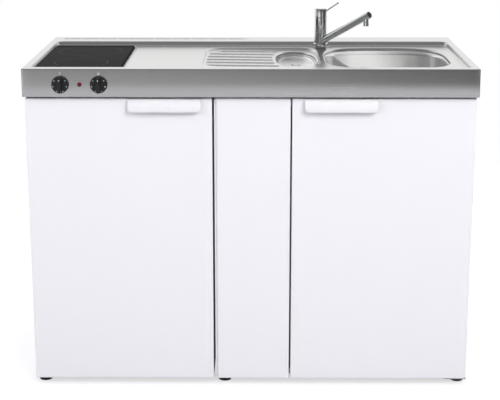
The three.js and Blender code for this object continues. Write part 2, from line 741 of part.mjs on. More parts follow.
/** The worktop's upper surface as a solid block, or the same block one sheet further in. */
function worktopForm(depth) {
  const plan = { x0: LEFT, x1: RIGHT, y0: 0, y1: UNIT_DEPTH };
  const radius = EDGE_RADIUS - depth;
  const ring = (grow, z) => rectangleRing(plan, PLAN_RADIUS, PLAN_RADIUS, z, grow);
  const fold = [0, 1, 2, 3].map((k) => {
    const angle = radians(30 * k);
    return ring(radius * Math.cos(angle) - EDGE_RADIUS, RIM_HEIGHT - EDGE_RADIUS + radius * Math.sin(angle));
  });
  const lower = depth > 0 ? APRON_BOTTOM + SHEET : APRON_BOTTOM;
  let form = loft([ring(-depth, lower), ...fold]);
  if (depth > 0) {
    form = form.add(box(
      LEFT + SIDE_RETURN, RIGHT - SIDE_RETURN, APRON_RETURN, UNIT_DEPTH - APRON_RETURN,
      APRON_BOTTOM - 1, lower + 1,
    ));
  }

  const rim = { x0: LEFT + RIM_SIDE, x1: RIGHT - RIM_SIDE, y0: RIM_FRONT, y1: UNIT_DEPTH - REAR_LEDGE };
  const well = (grow, z) => rectangleRing(rim, DECK_RADIUS_FRONT, DECK_RADIUS_REAR, z, grow + depth);
  form = form.subtract(loft([
    well(0, RIM_HEIGHT + 2),
    well(0, RIM_HEIGHT - depth),
    well(-RISER_RUN, DECK - depth),
  ]));

  const dish = (grow, z) => rectangleRing(drainer, DRAINER_RADIUS, DRAINER_RADIUS, z, grow + depth, 6);
  form = form.subtract(loft([
    dish(0, DECK + 2),
    dish(0, DECK - depth),
    dish(-DRAINER_SLOPE_RUN, (x) => drainerFloor(x) - depth),
  ]));
  for (let i = 0; i < RIB_COUNT; i += 1) {
    const middle = (drainer.y0 + drainer.y1) / 2 + 2;
    form = form.add(rib(middle + (i - (RIB_COUNT - 1) / 2) * RIB_PITCH, depth));
  }
  const wasteMouth = bowlMouth(
    waste, WASTE_HALF_WIDTH, WASTE_HALF_LENGTH, WASTE_POWER, drainerFloor, waste.z, depth,
  );
  const bowlEdge = bowlMouth(
    bowl, BOWL_HALF_WIDTH, BOWL_HALF_LENGTH, BOWL_POWER, () => DECK, DECK - BOWL_SEAM, depth,
  );
  return cut(form, wasteMouth, bowlEdge);
}

function worktop() {
  const sheet = worktopForm(0).subtract(worktopForm(SHEET));
  const rearOpening = box(
    LEFT - 1, RIGHT + 1, UNIT_DEPTH - APRON_RETURN - 1, UNIT_DEPTH + 1,
    APRON_BOTTOM - 1, RIM_HEIGHT - REAR_LIP,
  );
  const hobHole = prism(
    roundRectangle(cutout.x0, cutout.x1, cutout.y0, cutout.y1, HOB_RADIUS), 'z', DECK - 5, DECK + 1, 3,
  );
  const tapHole = rod(TAP_HOLE, DECK - 5, DECK + 1, { origin: [tap.x, tap.y, 0], segments: 20 });
  const throughApron = (x, radius) =>
    rod(radius, -2, 3, { origin: [x, 0, CONTROL_Z], direction: [0, 1, 0] });
  const slots = Array.from({ length: VENT_COUNT }, (_, i) => {
    const x = LEFT + VENT_INSET + i * VENT_PITCH;
    const y = UNIT_DEPTH - VENT_SETBACK;
    const half = VENT_WIDTH / 2;
    return box(x, x + VENT_LENGTH, y - half, y + half, RIM_HEIGHT - 3, RIM_HEIGHT + 1);
  });
  return cut(
    sheet, rearOpening, hobHole, tapHole, ...slots,
    ...knobs.map((x) => throughApron(x, SPINDLE_RADIUS + 2)), throughApron(lampX, LAMP_HOLE),
  );
}

/** Rings of the main bowl's inner face, or of its outer face one sheet away. */
function mainBowlForm(grow) {
  const seam = DECK - BOWL_SEAM;
  const wallEnd = bowl.floor + BOWL_FLOOR_RADIUS;
  const taper = (seam - wallEnd) * BOWL_TAPER;
  const ring = (narrower, z, power = BOWL_POWER) =>
    ovalRing(bowl, BOWL_HALF_WIDTH - narrower + grow, BOWL_HALF_LENGTH - narrower + grow, power, z - grow);
  const round = (radius, z) => ovalRing(bowl, radius + grow, radius + grow, 2, z - grow);
  const fillet = [0, 1, 2, 3].map((k) => {
    const angle = radians(30 * k);
    const across = BOWL_FLOOR_RADIUS * (1 - Math.cos(angle));
    return ring(taper + across, wallEnd - BOWL_FLOOR_RADIUS * Math.sin(angle));
  });
  const top = grow > 0 ? seam + grow : seam + 2;
  return loft([
    ring(0, top), ...fillet,
    round(DRAIN_SEAT_RADIUS, bowl.floor - 2), round(DRAIN_SEAT_RADIUS - 2, drainSeat),
  ]);
}

function mainBowl() {
  const hole = rod(DRAIN_HOLE, drainSeat - 3, drainSeat + 3, { origin: [bowl.x, bowl.y, 0], segments: 32 });
  return cut(mainBowlForm(SHEET), mainBowlForm(0), hole);
}

function wasteBowlForm(grow) {
  const floor = DECK - WASTE_DEPTH;
  const wallEnd = floor + WASTE_FLOOR_RADIUS;
  const ring = (narrower, z) => {
    const change = grow - narrower;
    return ovalRing(waste, WASTE_HALF_WIDTH + change, WASTE_HALF_LENGTH + change, WASTE_POWER, z - grow);
  };
  const fillet = [0, 1, 2].map((k) => {
    const angle = radians(45 * k);
    return ring(WASTE_FLOOR_RADIUS * (1 - Math.cos(angle)), wallEnd - WASTE_FLOOR_RADIUS * Math.sin(angle));
  });
  return loft([ring(0, grow > 0 ? waste.z + grow : waste.z + 2), ...fillet]);
}

function wasteBowl() {
  const floor = DECK - WASTE_DEPTH;
  const places = [[0, 0], [-1, -1], [-1, 1], [1, -1], [1, 1]];
  const holes = places.map(([i, j]) =>
    rod(SIEVE_HOLE, floor - 3, floor + 3, {
      origin: [waste.x + i * SIEVE_PITCH, waste.y + j * SIEVE_PITCH, 0],
      segments: 12,
    }));
  return cut(wasteBowlForm(SHEET), wasteBowlForm(0), ...holes);
}

// ---------------------------------------------------------------- hob and controls

function hobGlass() {
  const edge = 0.8;
  const ring = (z, grow) => rectangleRing(glass, HOB_RADIUS, HOB_RADIUS, z, grow, 3);
  const top = DECK + HOB_THICKNESS;
  return loft([ring(DECK, -edge), ring(DECK + edge, 0), ring(top - edge, 0), ring(top, -edge)]);
}

const TRAY_FLOOR = DECK_UNDERSIDE - TRAY_DEPTH + SHEET;

function hobTray() {
  const shell = inset(cutout, 1);
  const flange = inset(cutout, -TRAY_FLANGE);
  const outline = (r, radius) => roundRectangle(r.x0, r.x1, r.y0, r.y1, radius);
  const outer = prism(outline(shell, HOB_RADIUS), 'z', TRAY_FLOOR - SHEET, DECK_UNDERSIDE, 2);
  const inside = outline(inset(shell, SHEET), HOB_RADIUS - SHEET);
  const hollow = prism(inside, 'z', TRAY_FLOOR, DECK_UNDERSIDE + 2, 2);
  const rim = prism(outline(flange, HOB_RADIUS), 'z', DECK_UNDERSIDE - SHEET, DECK_UNDERSIDE, 2);
  const wireHoles = [-1, 1].map((side) =>
    rod(TRAY_WIRE_HOLE, TRAY_FLOOR - 3, TRAY_FLOOR + 3, {
      origin: [glass.x0 + ZONE_X + side * TRAY_WIRE_SPREAD, shell.y0 + TRAY_WIRE_HOLE + 2, 0],
    }));
  return cut(outer.add(rim), hollow, ...wireHoles);
}

/** A radiant heater: an insulating dish pressed up against the glass, with its limiter and terminals. */
function heater(zoneRadius) {
  const outer = zoneRadius + HEATER_RIM;
  const height = DECK - FIT - TRAY_FLOOR;
  const dish = turned(
    [[0, 0], [outer - 3, 0], [outer, 3], [outer, height], [outer - 6, height], [outer - 9, 14], [0, 14]],
    { segments: 26 },
  );
  const limiter = rod(3, -outer + 4, outer - 3, {
    origin: [0, 0, height - 6], direction: [0.35, 1, 0], segments: 8,
  });
  return dish.add(limiter);
}

/** A knob on its spindle, turned about an axis that points out of the apron. */
function controlKnob() {
  const radius = KNOB_RADIUS;
  const disc = turned([
    [0, KNOB_STANDOFF], [radius, KNOB_STANDOFF], [radius, KNOB_STANDOFF + 2], [radius - 1, KNOB_SKIRT - 2],
    [radius - 4, KNOB_SKIRT], [0, KNOB_SKIRT + 1],
  ], { direction: [0, -1, 0], segments: 26 });
  const halfWidthAt = (z) => (KNOB_GRIP_WIDTH / 2) * (1 - KNOB_GRIP_TAPER * (z / radius) ** 2);
  const levels = [-1, -0.6, -0.2, 0.2, 0.6, 1].map((share) => share * (radius - KNOB_GRIP_INSET));
  const outline = [
    ...levels.map((z) => [halfWidthAt(z), z]),
    ...levels.toReversed().map((z) => [-halfWidthAt(z), z]),
  ];
  const bar = prism(polygon(outline), 'y', -KNOB_PROUD + 2, -KNOB_SKIRT + 3);
  const narrower = outline.map(([x, z]) => [x * 0.72, z * 0.94]);
  const crest = prism(polygon(narrower), 'y', -KNOB_PROUD, -KNOB_PROUD + 2.5);
  const spindle = rod(SPINDLE_RADIUS, -SPINDLE_LENGTH, KNOB_STANDOFF + 1, {
    direction: [0, -1, 0], segments: 16,
  });
  return join(disc, bar, crest, spindle);
}

/** An energy regulator: a square moulded case behind the apron with a bore for the spindle. */
function regulator() {
  const half = REGULATOR_SIZE / 2;
  const front = SHEET + FIT;
  const back = front + REGULATOR_DEPTH;
  const bush = rod(REGULATOR_BUSH, front, front + 6, { direction: [0, 1, 0], segments: 20 });
  const body = box(-half, half, front + 5, back, -half, half);
  const bore = rod(SPINDLE_RADIUS + PIN_PLAY, front - 1, SPINDLE_LENGTH + 2, {
    direction: [0, 1, 0], segments: 20,
  });
  const { pitch, width, length, thickness } = REGULATOR_TAB;
  const tabs = [-1.5, -0.5, 0.5, 1.5].map((step) => {
    const x = step * pitch;
    return box(x - width / 2, x + width / 2, back - 1, back + length, -thickness / 2, thickness / 2);
  });
  return cut(join(body, bush, ...tabs), bore);
}

function pilotLamp() {
  return turned([
    [0, -LAMP_LENGTH], [LAMP_HOLE - 0.4, -LAMP_LENGTH], [LAMP_HOLE - 0.4, FIT], [LAMP_RADIUS, FIT],
    [LAMP_RADIUS, 1.2], [LAMP_RADIUS * 0.6, 3.2], [0, 4],
  ], { direction: [0, -1, 0], segments: 18 });
}

// ---------------------------------------------------------------- tap

function tapBase() {
  const profile = [
    [0, -TAP_SHANK_LENGTH], [TAP_SHANK_RADIUS, -TAP_SHANK_LENGTH], [TAP_SHANK_RADIUS, 0],
    [TAP_BASE_RADIUS, 0], [TAP_BASE_RADIUS, TAP_BASE_HEIGHT - 2], [TAP_BASE_RADIUS - 2, TAP_BASE_HEIGHT],
    [TAP_CORE_RADIUS, TAP_BASE_HEIGHT], [TAP_CORE_RADIUS, TAP_SEAM - 0.4], [0, TAP_SEAM - 0.4],
  ];
  const nut = turned([[0, -14], [25, -14], [25, -SHEET - FIT], [0, -SHEET - FIT]], { segments: 6 });
  return turned(profile, { segments: 24 }).add(nut);
}

function spoutPoint(reach) {
  return vec(reach, 0, SPOUT_START + reach * Math.tan(radians(SPOUT_RISE)));
}

function tapSpout() {
  const low = TAP_BASE_HEIGHT + FIT;
  const high = TAP_SEAM - FIT;
  const sleeve = turned([[0, low], [TAP_RADIUS, low], [TAP_RADIUS, high], [0, high]], { segments: 28 });
  const along = vec(Math.cos(radians(SPOUT_RISE)), 0, Math.sin(radians(SPOUT_RISE)));
  const length = SPOUT_REACH / along.x;
  const start = { origin: [0, 0, SPOUT_START], direction: along.toArray(), segments: 24 };
  const tube = rod(SPOUT_RADIUS, TAP_CORE_RADIUS, length, start);
  const mouth = rod(SPOUT_RADIUS - 1.6, length - 2, length + 2, start);
  const outlet = spoutPoint(SPOUT_REACH - AERATOR_BACK);
  const under = outlet.z - SPOUT_RADIUS / along.x;
  const boss = rod(AERATOR_RADIUS - 0.6, under - aeratorBoss, outlet.z, {
    origin: [outlet.x, 0, 0], segments: 20,
  });
  const bore = rod(TAP_CORE_RADIUS + PIN_PLAY, low - 1, high + 1, { segments: 24 });
  return cut(join(sleeve, tube, boss), bore, mouth);
}

function aerator() {
  const outlet = spoutPoint(SPOUT_REACH - AERATOR_BACK);
  const top = outlet.z - SPOUT_RADIUS / Math.cos(radians(SPOUT_RISE)) - aeratorBoss - FIT;
  const low = top - AERATOR_HEIGHT;
  return turned([
    [0, low + 3], [AERATOR_RADIUS - 1.6, low + 3], [AERATOR_RADIUS - 1.6, low], [AERATOR_RADIUS - 0.5, low],
    [AERATOR_RADIUS, low + 1], [AERATOR_RADIUS, top - 0.6], [AERATOR_RADIUS - 0.6, top], [0, top],
  ], { origin: [outlet.x, 0, 0], segments: 18 });
}

/** The cartridge's stem: a disc on the tap's core with a dome that the lever cap rocks on. */
function cartridgeStem() {
  const base = TAP_SEAM + FIT / 2;
  return turned([
    [0, base], [TAP_RADIUS - 0.6, base], [TAP_RADIUS - 0.6, base + 2], [13, base + 2], [12.6, base + 8],
    [9.5, base + 15], [0, base + 18.5],
  ], { segments: 24 });
}

const CAP_BASE = TAP_SEAM + FIT / 2 + 2 + FIT;

function leverPoint(reach) {
  return vec(reach, 0, LEVER_TIP_HEIGHT - (LEVER_TIP_REACH - reach) * Math.tan(radians(LEVER_RISE)));
}

function tapCap() {
  const cap = turned([
    [0, TAP_TOP - CAP_WALL - 1], [TAP_RADIUS - CAP_WALL, TAP_TOP - CAP_WALL - 2],
    [TAP_RADIUS - CAP_WALL, CAP_BASE],
    [TAP_RADIUS, CAP_BASE], [TAP_RADIUS, TAP_TOP - 2.5], [TAP_RADIUS - 2.5, TAP_TOP], [0, TAP_TOP],
  ], { segments: 28 });
  const inner = leverPoint(TAP_RADIUS - CAP_WALL - 1);
  const aim = leverPoint(LEVER_TIP_REACH).sub(inner).toArray();
  return cut(cap, rod(LEVER_RADIUS + FIT, -2, 8, { origin: inner.toArray(), direction: aim, segments: 16 }));
}

function tapLever() {
  const inner = leverPoint(TAP_RADIUS - CAP_WALL);
  const reach = leverPoint(LEVER_TIP_REACH).sub(inner);
  const length = reach.length();
  const ball = Array.from({ length: 5 }, (_, k) => {
    const angle = radians(-40 + k * 32.5);
    return [LEVER_BALL * Math.cos(angle), length - LEVER_BALL + LEVER_BALL * Math.sin(angle)];
  });
  const neck = [LEVER_RADIUS * 0.9, length - 2 * LEVER_BALL];
  const profile = [[0, 0], [LEVER_RADIUS, 0], neck, ...ball, [0, length]];
  return turned(profile, { origin: inner.toArray(), direction: reach.toArray(), segments: 14 });
}

// ---------------------------------------------------------------- drain and trap

function bowlDrain() {
  const low = drainSeat - DRAIN_CUP_DEPTH;
  const inner = DRAIN_CUP_RADIUS - DRAIN_WALL;
  const spigot = SPIGOT_RADIUS - DRAIN_WALL;
  return turned([
    [spigot, spigotEnd], [SPIGOT_RADIUS, spigotEnd], [SPIGOT_RADIUS, low - 2],
    [DRAIN_CUP_RADIUS - 4, low - 2],
    [DRAIN_CUP_RADIUS, low + 3], [DRAIN_CUP_RADIUS, drainSeat - 14], [DRAIN_FLANGE - 2, drainSeat - 14],
    [DRAIN_FLANGE - 2, drainSeat - SHEET - FIT], [DRAIN_CUP_RADIUS, drainSeat - SHEET - FIT],
    [DRAIN_CUP_RADIUS, drainSeat], [DRAIN_FLANGE, drainSeat], [DRAIN_FLANGE, drainSeat + 1],
    [DRAIN_FLANGE - 3, drainSeat + 2], [inner + 3, drainSeat + 1], [inner, drainSeat - 3], [inner, low + 3],
    [inner - 3, low], [spigot, low],
  ], { origin: [bowl.x, bowl.y, 0], segments: 16 });
}

function strainerBasket() {
  const seat = drainSeat - DRAIN_CUP_DEPTH + FIT;
  const top = seat + BASKET_HEIGHT + 6;
  const rim = DRAIN_CUP_RADIUS - DRAIN_WALL - 2;
  return turned([
    [0, seat], [24, seat], [24, seat + 4], [rim - 9, seat + 6], [rim - 2, top - 2], [rim, top - 1],
    [rim, top], [rim - 3, top], [rim - 10.5, seat + 7.5], [4, seat + 7.5], [4, top - 6], [8, top - 4],
    [8, top], [0, top + 1],
  ], { origin: [bowl.x, bowl.y, 0], segments: 18 });
}

function bottleTrap() {
  const bore = SPIGOT_RADIUS + SOCKET_PLAY;
  const { z0, z1 } = trapBody;
  const bottle = turned([
    [0, z0], [TRAP_RADIUS - 8, z0], [TRAP_RADIUS, z0 + 6], [TRAP_RADIUS, z0 + 26], [TRAP_RADIUS - 3, z0 + 28],
    [TRAP_RADIUS - 3, z1 - 6], [bore + 6, z1], [bore + 6, trapTop - 16], [bore + 9, trapTop - 16],
    [bore + 9, trapTop], [bore, trapTop], [bore, z1], [0, z1],
  ], { origin: [bowl.x, bowl.y, 0], segments: 16 });
  const outletEnd = sinkCabinet.y1 - 4;
  const outlet = rod(OUTLET_RADIUS, TRAP_RADIUS - 8, outletEnd - bowl.y, {
    origin: [bowl.x, bowl.y, outletZ], direction: [0, 1, 0],
  });
  const collar = rod(OUTLET_RADIUS + SOCKET_WALL, TRAP_RADIUS - 6, TRAP_RADIUS + 14, {
    origin: [bowl.x, bowl.y, outletZ], direction: [0, 1, 0],
  });
  const outletBore = rod(OUTLET_RADIUS - 2, outletEnd - bowl.y - 30, outletEnd - bowl.y + 2, {
    origin: [bowl.x, bowl.y, outletZ], direction: [0, 1, 0],
  });
  const socket = rod(LINK_RADIUS + SOCKET_WALL, TRAP_RADIUS - 8, TRAP_RADIUS + 22, {
    origin: [bowl.x, bowl.y, linkInletZ], direction: [-1, 0, 0],
  });
  const socketBore = rod(LINK_RADIUS + SOCKET_PLAY, TRAP_RADIUS + 2, TRAP_RADIUS + 30, {
    origin: [bowl.x, bowl.y, linkInletZ], direction: [-1, 0, 0],
  });
  return cut(join(bottle, outlet, collar, socket), outletBore, socketBore);
}

function wasteLinkPipe() {
  const top = DECK - WASTE_DEPTH - SHEET;
  const low = top - LINK_CUP_DEPTH;
  const cup = turned([
    [0, low - 8], [LINK_RADIUS, low - 8], [LINK_CUP_RADIUS, low], [LINK_CUP_RADIUS, top - FIT],
    [LINK_CUP_RADIUS - 2, top - FIT], [LINK_CUP_RADIUS - 2, low + 2], [0, low - 4],
  ], { origin: [waste.x, waste.y, 0], segments: 18 });
  const end = bowl.x - TRAP_RADIUS - 4;
  const route = roundedRoute([
    [waste.x, waste.y, low - 6], [waste.x, waste.y, linkInletZ], [waste.x + LINK_OFFSET, bowl.y, linkInletZ],
    [end, bowl.y, linkInletZ],
  ], LINK_BEND, 4);
  return cup.add(pipe(route, LINK_RADIUS, 12));
}

// ---------------------------------------------------------------- handles, hinges and feet

/** A lip that curves out and down from the top edge of a door, so that fingers reach up behind it. */
function handle() {
  const curve = (proud, height) => Array.from({ length: 7 }, (_, k) => {
    const angle = radians(15 * k);
    return [-proud * Math.sin(angle), height * Math.cos(angle) - HANDLE_HEIGHT];
  });
  const outer = curve(HANDLE_PROUD, HANDLE_HEIGHT);
  const inner = curve(HANDLE_PROUD - HANDLE_THICKNESS, HANDLE_HEIGHT - HANDLE_THICKNESS).toReversed();
  const half = HANDLE_WIDTH / 2;
  const lip = prism(polygon([...outer, ...inner]), 'x', -half, half);
  const plate = box(-half, half, -HANDLE_PLATE, 0, -HANDLE_HEIGHT * 0.8, -1);
  const outline = roundRectangle(-half, half, -HANDLE_HEIGHT, 0.1, 0, HANDLE_CORNER);
  return join(lip, plate).intersect(prism(outline, 'y', -HANDLE_PROUD - 1, 1, 5));
}

/** A hinge plate with its pin; the plate lies on a cabinet and the pin points into the door. */
function hingePlate(pivot, x0, x1, y1, plateZ, pinDirection) {
  const outline = roundRectangle(x0, x1, pivot.y - HINGE_MARGIN, y1, HINGE_CORNER);
  const plate = prism(outline, 'z', plateZ, plateZ + HINGE_PLATE, 2);
  const faceZ = pinDirection > 0 ? plateZ + HINGE_PLATE : plateZ;
  const pin = rod(HINGE_PIN, -1, HINGE_PIN_LENGTH, {
    origin: [pivot.x, pivot.y, faceZ], direction: [0, 0, pinDirection],
  });
  return plate.add(pin);
}

const LOWER_PLATE = CASE_BASE - HINGE_PLATE;

function pinHole(pivot, z, direction) {
  return rod(HINGE_PIN + PIN_PLAY, -2, HINGE_PIN_LENGTH + 1.5, {
    origin: [pivot.x, pivot.y, z], direction: [0, 0, direction],
  });
}

/** A levelling foot whose stem ends under the cabinet. */
function foot(height) {
  return turned([
    [0, 0], [FOOT_RADIUS, 0], [FOOT_RADIUS, FOOT_PAD - 2], [FOOT_RADIUS - 3, FOOT_PAD],
    [FOOT_STEM, FOOT_PAD + 1], [FOOT_STEM, height], [0, height],
  ], { segments: 16 });
}

// ---------------------------------------------------------------- refrigerator

/** The space over the compressor niche, grown outwards by a wall. */
function niche(grow) {
  return box(
    fridge.x0 + CASE_SHEET - grow * 2, fridge.x1 - CASE_SHEET + grow * 2,
    fridge.y1 - NICHE_DEPTH - grow, fridge.y1 + 2,
    CASE_BASE + CASE_SHEET - grow * 2, CASE_BASE + NICHE_HEIGHT + grow,
  );
}

function fridgeCasing() {
  const inner = { ...inset(fridge, CASE_SHEET), y0: fridge.y0 - 1 };
  const shell = cut(block(fridge), block(inner).subtract(niche(CASE_SHEET)), niche(0));
  const rearFeet = [fridge.x0 + REAR_FOOT.side, fridge.x1 - REAR_FOOT.side].map((x) =>
    rod(REAR_FOOT.radius, 0, CASE_BASE + 0.5, { origin: [x, fridge.y1 - REAR_FOOT.back, 0] }));
  const plateX = fridge.x1 - BLANK_PLATE.inset;
  const plate = roundRectangle(
    plateX - BLANK_PLATE.width, plateX, fridge.y0 - BLANK_PLATE.before, fridge.y0 + BLANK_PLATE.behind,
    BRACKET_CORNER,
  );
  const blankPlate = prism(plate, 'z', CASE_TOP - 0.5, CASE_TOP + BRACKET_SHEET, 3);
  return join(shell, ...rearFeet, blankPlate);
}

/** The cabin: foam walls faced with a moulded liner that has ledges for the shelves. */
function fridgeLiner() {
  const skin = { ...inset(fridge, CASE_SHEET + FIT), y0: fridge.y0 };
  const cabinShape = prism(
    roundRectangle(cabin.x0, cabin.x1, cabin.z0, cabin.z1, CABIN_RADIUS), 'y', cabin.y0 - 1, cabin.y1, 4,
  );
  const step = box(
    cabin.x0 - 1, cabin.x1 + 1, fridge.y1 - NICHE_DEPTH - INSULATION, cabin.y1 + 1,
    cabin.z0 - 1, CASE_BASE + NICHE_HEIGHT + INSULATION,
  );
  const ledgeFront = cabin.y0 + SHELF_SETBACK - LEDGE_WIDTH;
  const ledges = SHELF_HEIGHTS.flatMap((z) => [
    box(cabin.x0 - 1, cabin.x0 + LEDGE_WIDTH, ledgeFront, cabin.y1 + 1, z - LEDGE_HEIGHT, z),
    box(cabin.x1 - LEDGE_WIDTH, cabin.x1 + 1, ledgeFront, cabin.y1 + 1, z - LEDGE_HEIGHT, z),
  ]);
  return cut(block(skin), niche(CASE_SHEET + FIT), cut(cabinShape, step, ...ledges));
}

function fridgeShelf(z) {
  const region = {
    x0: cabin.x0 + SHELF_SIDE_GAP, x1: cabin.x1 - SHELF_SIDE_GAP,
    y0: cabin.y0 + SHELF_SETBACK, y1: cabin.y1 - SHELF_REAR_GAP,
    z0: z + FIT, z1: z + FIT + SHELF_THICKNESS,
  };
  const trim = roundRectangle(
    region.y0 - SHELF_TRIM.before, region.y0 + SHELF_TRIM.behind,
    region.z0 - SHELF_TRIM.below, region.z1 + SHELF_TRIM.above, 3,
  );
  return block(region).add(prism(trim, 'x', region.x0 + LEDGE_WIDTH + 2, region.x1 - LEDGE_WIDTH - 2, 3));
}

const freezer = {
  x0: cabin.x0 + FREEZER_SIDE_GAP, x1: cabin.x1 - FREEZER_SIDE_GAP,
  y0: flapAxis.y + FLAP_BARREL + 2, y1: cabin.y1 - FREEZER_REAR_GAP,
  z0: cabin.z1 - FIT - FREEZER_HEIGHT, z1: cabin.z1 - FIT,
};

function freezerBox() {
  const { x0, x1, y0, y1, z0, z1 } = freezer;
  const w = FREEZER_WALL;
  const outer = prism(roundRectangle(x0, x1, z0, z1, FREEZER_CORNER), 'y', y0, y1, 3);
  const mouth = roundRectangle(x0 + w, x1 - w, z0 + w, z1 - w, FREEZER_CORNER - w);
  const hollow = prism(mouth, 'y', y0 - 1, y1 - w, 3);
  const ear = (a, b) => box(a, b, y0 - FREEZER_EAR, y0 + 1, flapAxis.z - 6, flapAxis.z + 6);
  const hole = rod(FLAP_PIN + PIN_PLAY, x0 - 2, x1 + 2, {
    origin: [0, flapAxis.y, flapAxis.z], direction: [1, 0, 0], segments: 16,
  });
  return cut(join(cut(outer, hollow), ear(x0, x0 + w + 1), ear(x1 - w - 1, x1)), hole);
}

function freezerFlap() {
  const side = FREEZER_WALL + FLAP_SIDE_GAP;
  const x0 = freezer.x0 + side;
  const x1 = freezer.x1 - side;
  const face = prism(
    roundRectangle(x0, x1, flapAxis.z - FLAP_LENGTH, flapAxis.z, 1, 6),
    'y', flapAxis.y - FLAP_THICKNESS / 2, flapAxis.y + FLAP_THICKNESS / 2, 3,
  );
  const line = { origin: [0, flapAxis.y, flapAxis.z], direction: [1, 0, 0] };
  const barrel = rod(FLAP_BARREL, x0, x1, line);
  const pin = rod(FLAP_PIN, freezer.x0 + 0.5, freezer.x1 - 0.5, line);
  const gripX = (x0 + x1 - FLAP_GRIP.width) / 2;
  const gripZ = flapAxis.z - FLAP_LENGTH + FLAP_GRIP.lift;
  const grip = box(
    gripX, gripX + FLAP_GRIP.width, flapAxis.y - FLAP_GRIP.depth, flapAxis.y, gripZ, gripZ + FLAP_GRIP.height,
  );
  return join(face, barrel, pin, grip);
}

const thermostat = { x: cabin.x1 - THERMOSTAT_SIDE, y: cabin.y0 + THERMOSTAT_SETBACK, z: THERMOSTAT_HEIGHT };

function thermostatHousing() {
  const { width, height, depth, corner } = THERMOSTAT_CASE;
  const shape = roundRectangle(
    cabin.x1 - width, cabin.x1 - FIT, thermostat.z - height / 2, thermostat.z + height / 2, corner,
  );
  const body = prism(shape, 'y', thermostat.y, thermostat.y + depth, 4);
  const bore = rod(SPINDLE_RADIUS + PIN_PLAY, -1, 14, {
    origin: [thermostat.x, thermostat.y, thermostat.z], direction: [0, 1, 0],
  });
  return body.subtract(bore);
}

function thermostatKnob() {
  const dial = turned([
    [0, 0.6], [THERMOSTAT_KNOB, 0.6], [THERMOSTAT_KNOB, 6], [THERMOSTAT_KNOB - 1.5, 8], [0, 8],
  ], { direction: [0, -1, 0], segments: 20 });
  const bar = roundRectangle(-3, 3, 2 - THERMOSTAT_KNOB, THERMOSTAT_KNOB - 2, 2);
  const grip = prism(bar, 'y', -THERMOSTAT_KNOB_DEPTH, -7, 3);
  const spindle = rod(SPINDLE_RADIUS, -12, 1, { direction: [0, -1, 0], segments: 14 });
  return join(dial, grip, spindle);
}

function compressor() {
  const r = COMPRESSOR_RADIUS;
  const h = COMPRESSOR_HEIGHT;
  const can = turned([
    [0, 8], [r * 0.6, 8], [r * 0.9, 16], [r - 1, 30], [r - 1, h * 0.5], [r + 2, h * 0.5], [r + 2, h * 0.54],
    [r - 1, h * 0.54], [r - 1, h - 40], [r * 0.85, h - 18], [r * 0.55, h - 4], [0, h],
  ], { segments: 16 });
  const mount = COMPRESSOR_MOUNT;
  const outline = roundRectangle(-r - 12, r + 12, 8 - r, r - 8, 10);
  const plate = prism(outline, 'z', mount.height - 1, mount.height + 2, 3);
  const mounts = [[-1, -1], [-1, 1], [1, -1], [1, 1]].map(([i, j]) =>
    rod(mount.radius, 0, mount.height, { origin: [i * (r + 2), j * (r - 18), 0] }));
  const { width, depth, low, high } = COMPRESSOR_RELAY;
  const relay = box(r - 12, r + depth, -width / 2, width / 2, low, high);
  return join(can, plate, relay, ...mounts);
}

/** The condenser: a serpentine tube with upright wires welded to it, on stand-off brackets. */
function condenser() {
  const y = fridge.y1 + CONDENSER_STANDOFF;
  const x0 = fridge.x0 + CONDENSER_SIDE;
  const x1 = fridge.x1 - CONDENSER_SIDE;
  const low = CASE_BASE + NICHE_HEIGHT + CONDENSER_END;
  const high = fridge.z1 - CONDENSER_END;
  const pitch = (high - low) / (CONDENSER_ROWS - 1);
  const corners = Array.from({ length: CONDENSER_ROWS }, (_, i) => {
    const z = low + i * pitch;
    return i % 2 ? [[x1, y, z], [x0, y, z]] : [[x0, y, z], [x1, y, z]];
  }).flat();
  const tube = pipe(roundedRoute(corners, pitch * 0.45, 2), CONDENSER_TUBE, 5);
  const wirePitch = (x1 - x0 - 2 * CONDENSER_WIRE_SIDE) / (CONDENSER_WIRES - 1);
  const wires = Array.from({ length: CONDENSER_WIRES }, (_, i) => {
    const x = x0 + CONDENSER_WIRE_SIDE + i * wirePitch;
    const half = CONDENSER_WIRE / 2;
    return box(
      x - half, x + half, y + CONDENSER_TUBE - half, y + CONDENSER_TUBE + half,
      low - CONDENSER_WIRE_END, high + CONDENSER_WIRE_END,
    );
  });
  const { inset: bracketInset, width, height } = CONDENSER_BRACKET;
  const brackets = [x0 + bracketInset, x1 - bracketInset].flatMap((x) => [low, high].map((z) =>
    box(x - width / 2, x + width / 2, fridge.y1 + FIT, y, z - height / 2, z + height / 2)));
  return join(tube, ...wires, ...brackets);
}

function fridgeDoorShell() {
  return cut(
    pan(fridgeDoor),
    pinHole(fridgePivot, fridgeDoor.z1, -1), pinHole(fridgePivot, fridgeDoor.z0, 1),
  );
}

const traySpan = {
  x0: doorField.x0 + DOOR_RIB_WIDTH + TRAY_SIDE_GAP,
  x1: doorField.x1 - DOOR_RIB_WIDTH - TRAY_SIDE_GAP,
};

/** Where a tray's two pegs are, each reaching into a rib. */
function trayPegs({ lift }) {
  const y0 = doorField.y1 + TRAY_PEG.setback;
  const z0 = fridgeDoor.z0 + lift + TRAY_PEG.lift;
  const size = { y0, y1: y0 + TRAY_PEG.depth, z0, z1: z0 + TRAY_PEG.height };
  return [
    { x0: traySpan.x0 - TRAY_PEG.reach, x1: traySpan.x0 + 1, ...size },
    { x0: traySpan.x1 - 1, x1: traySpan.x1 + TRAY_PEG.reach, ...size },
  ];
}

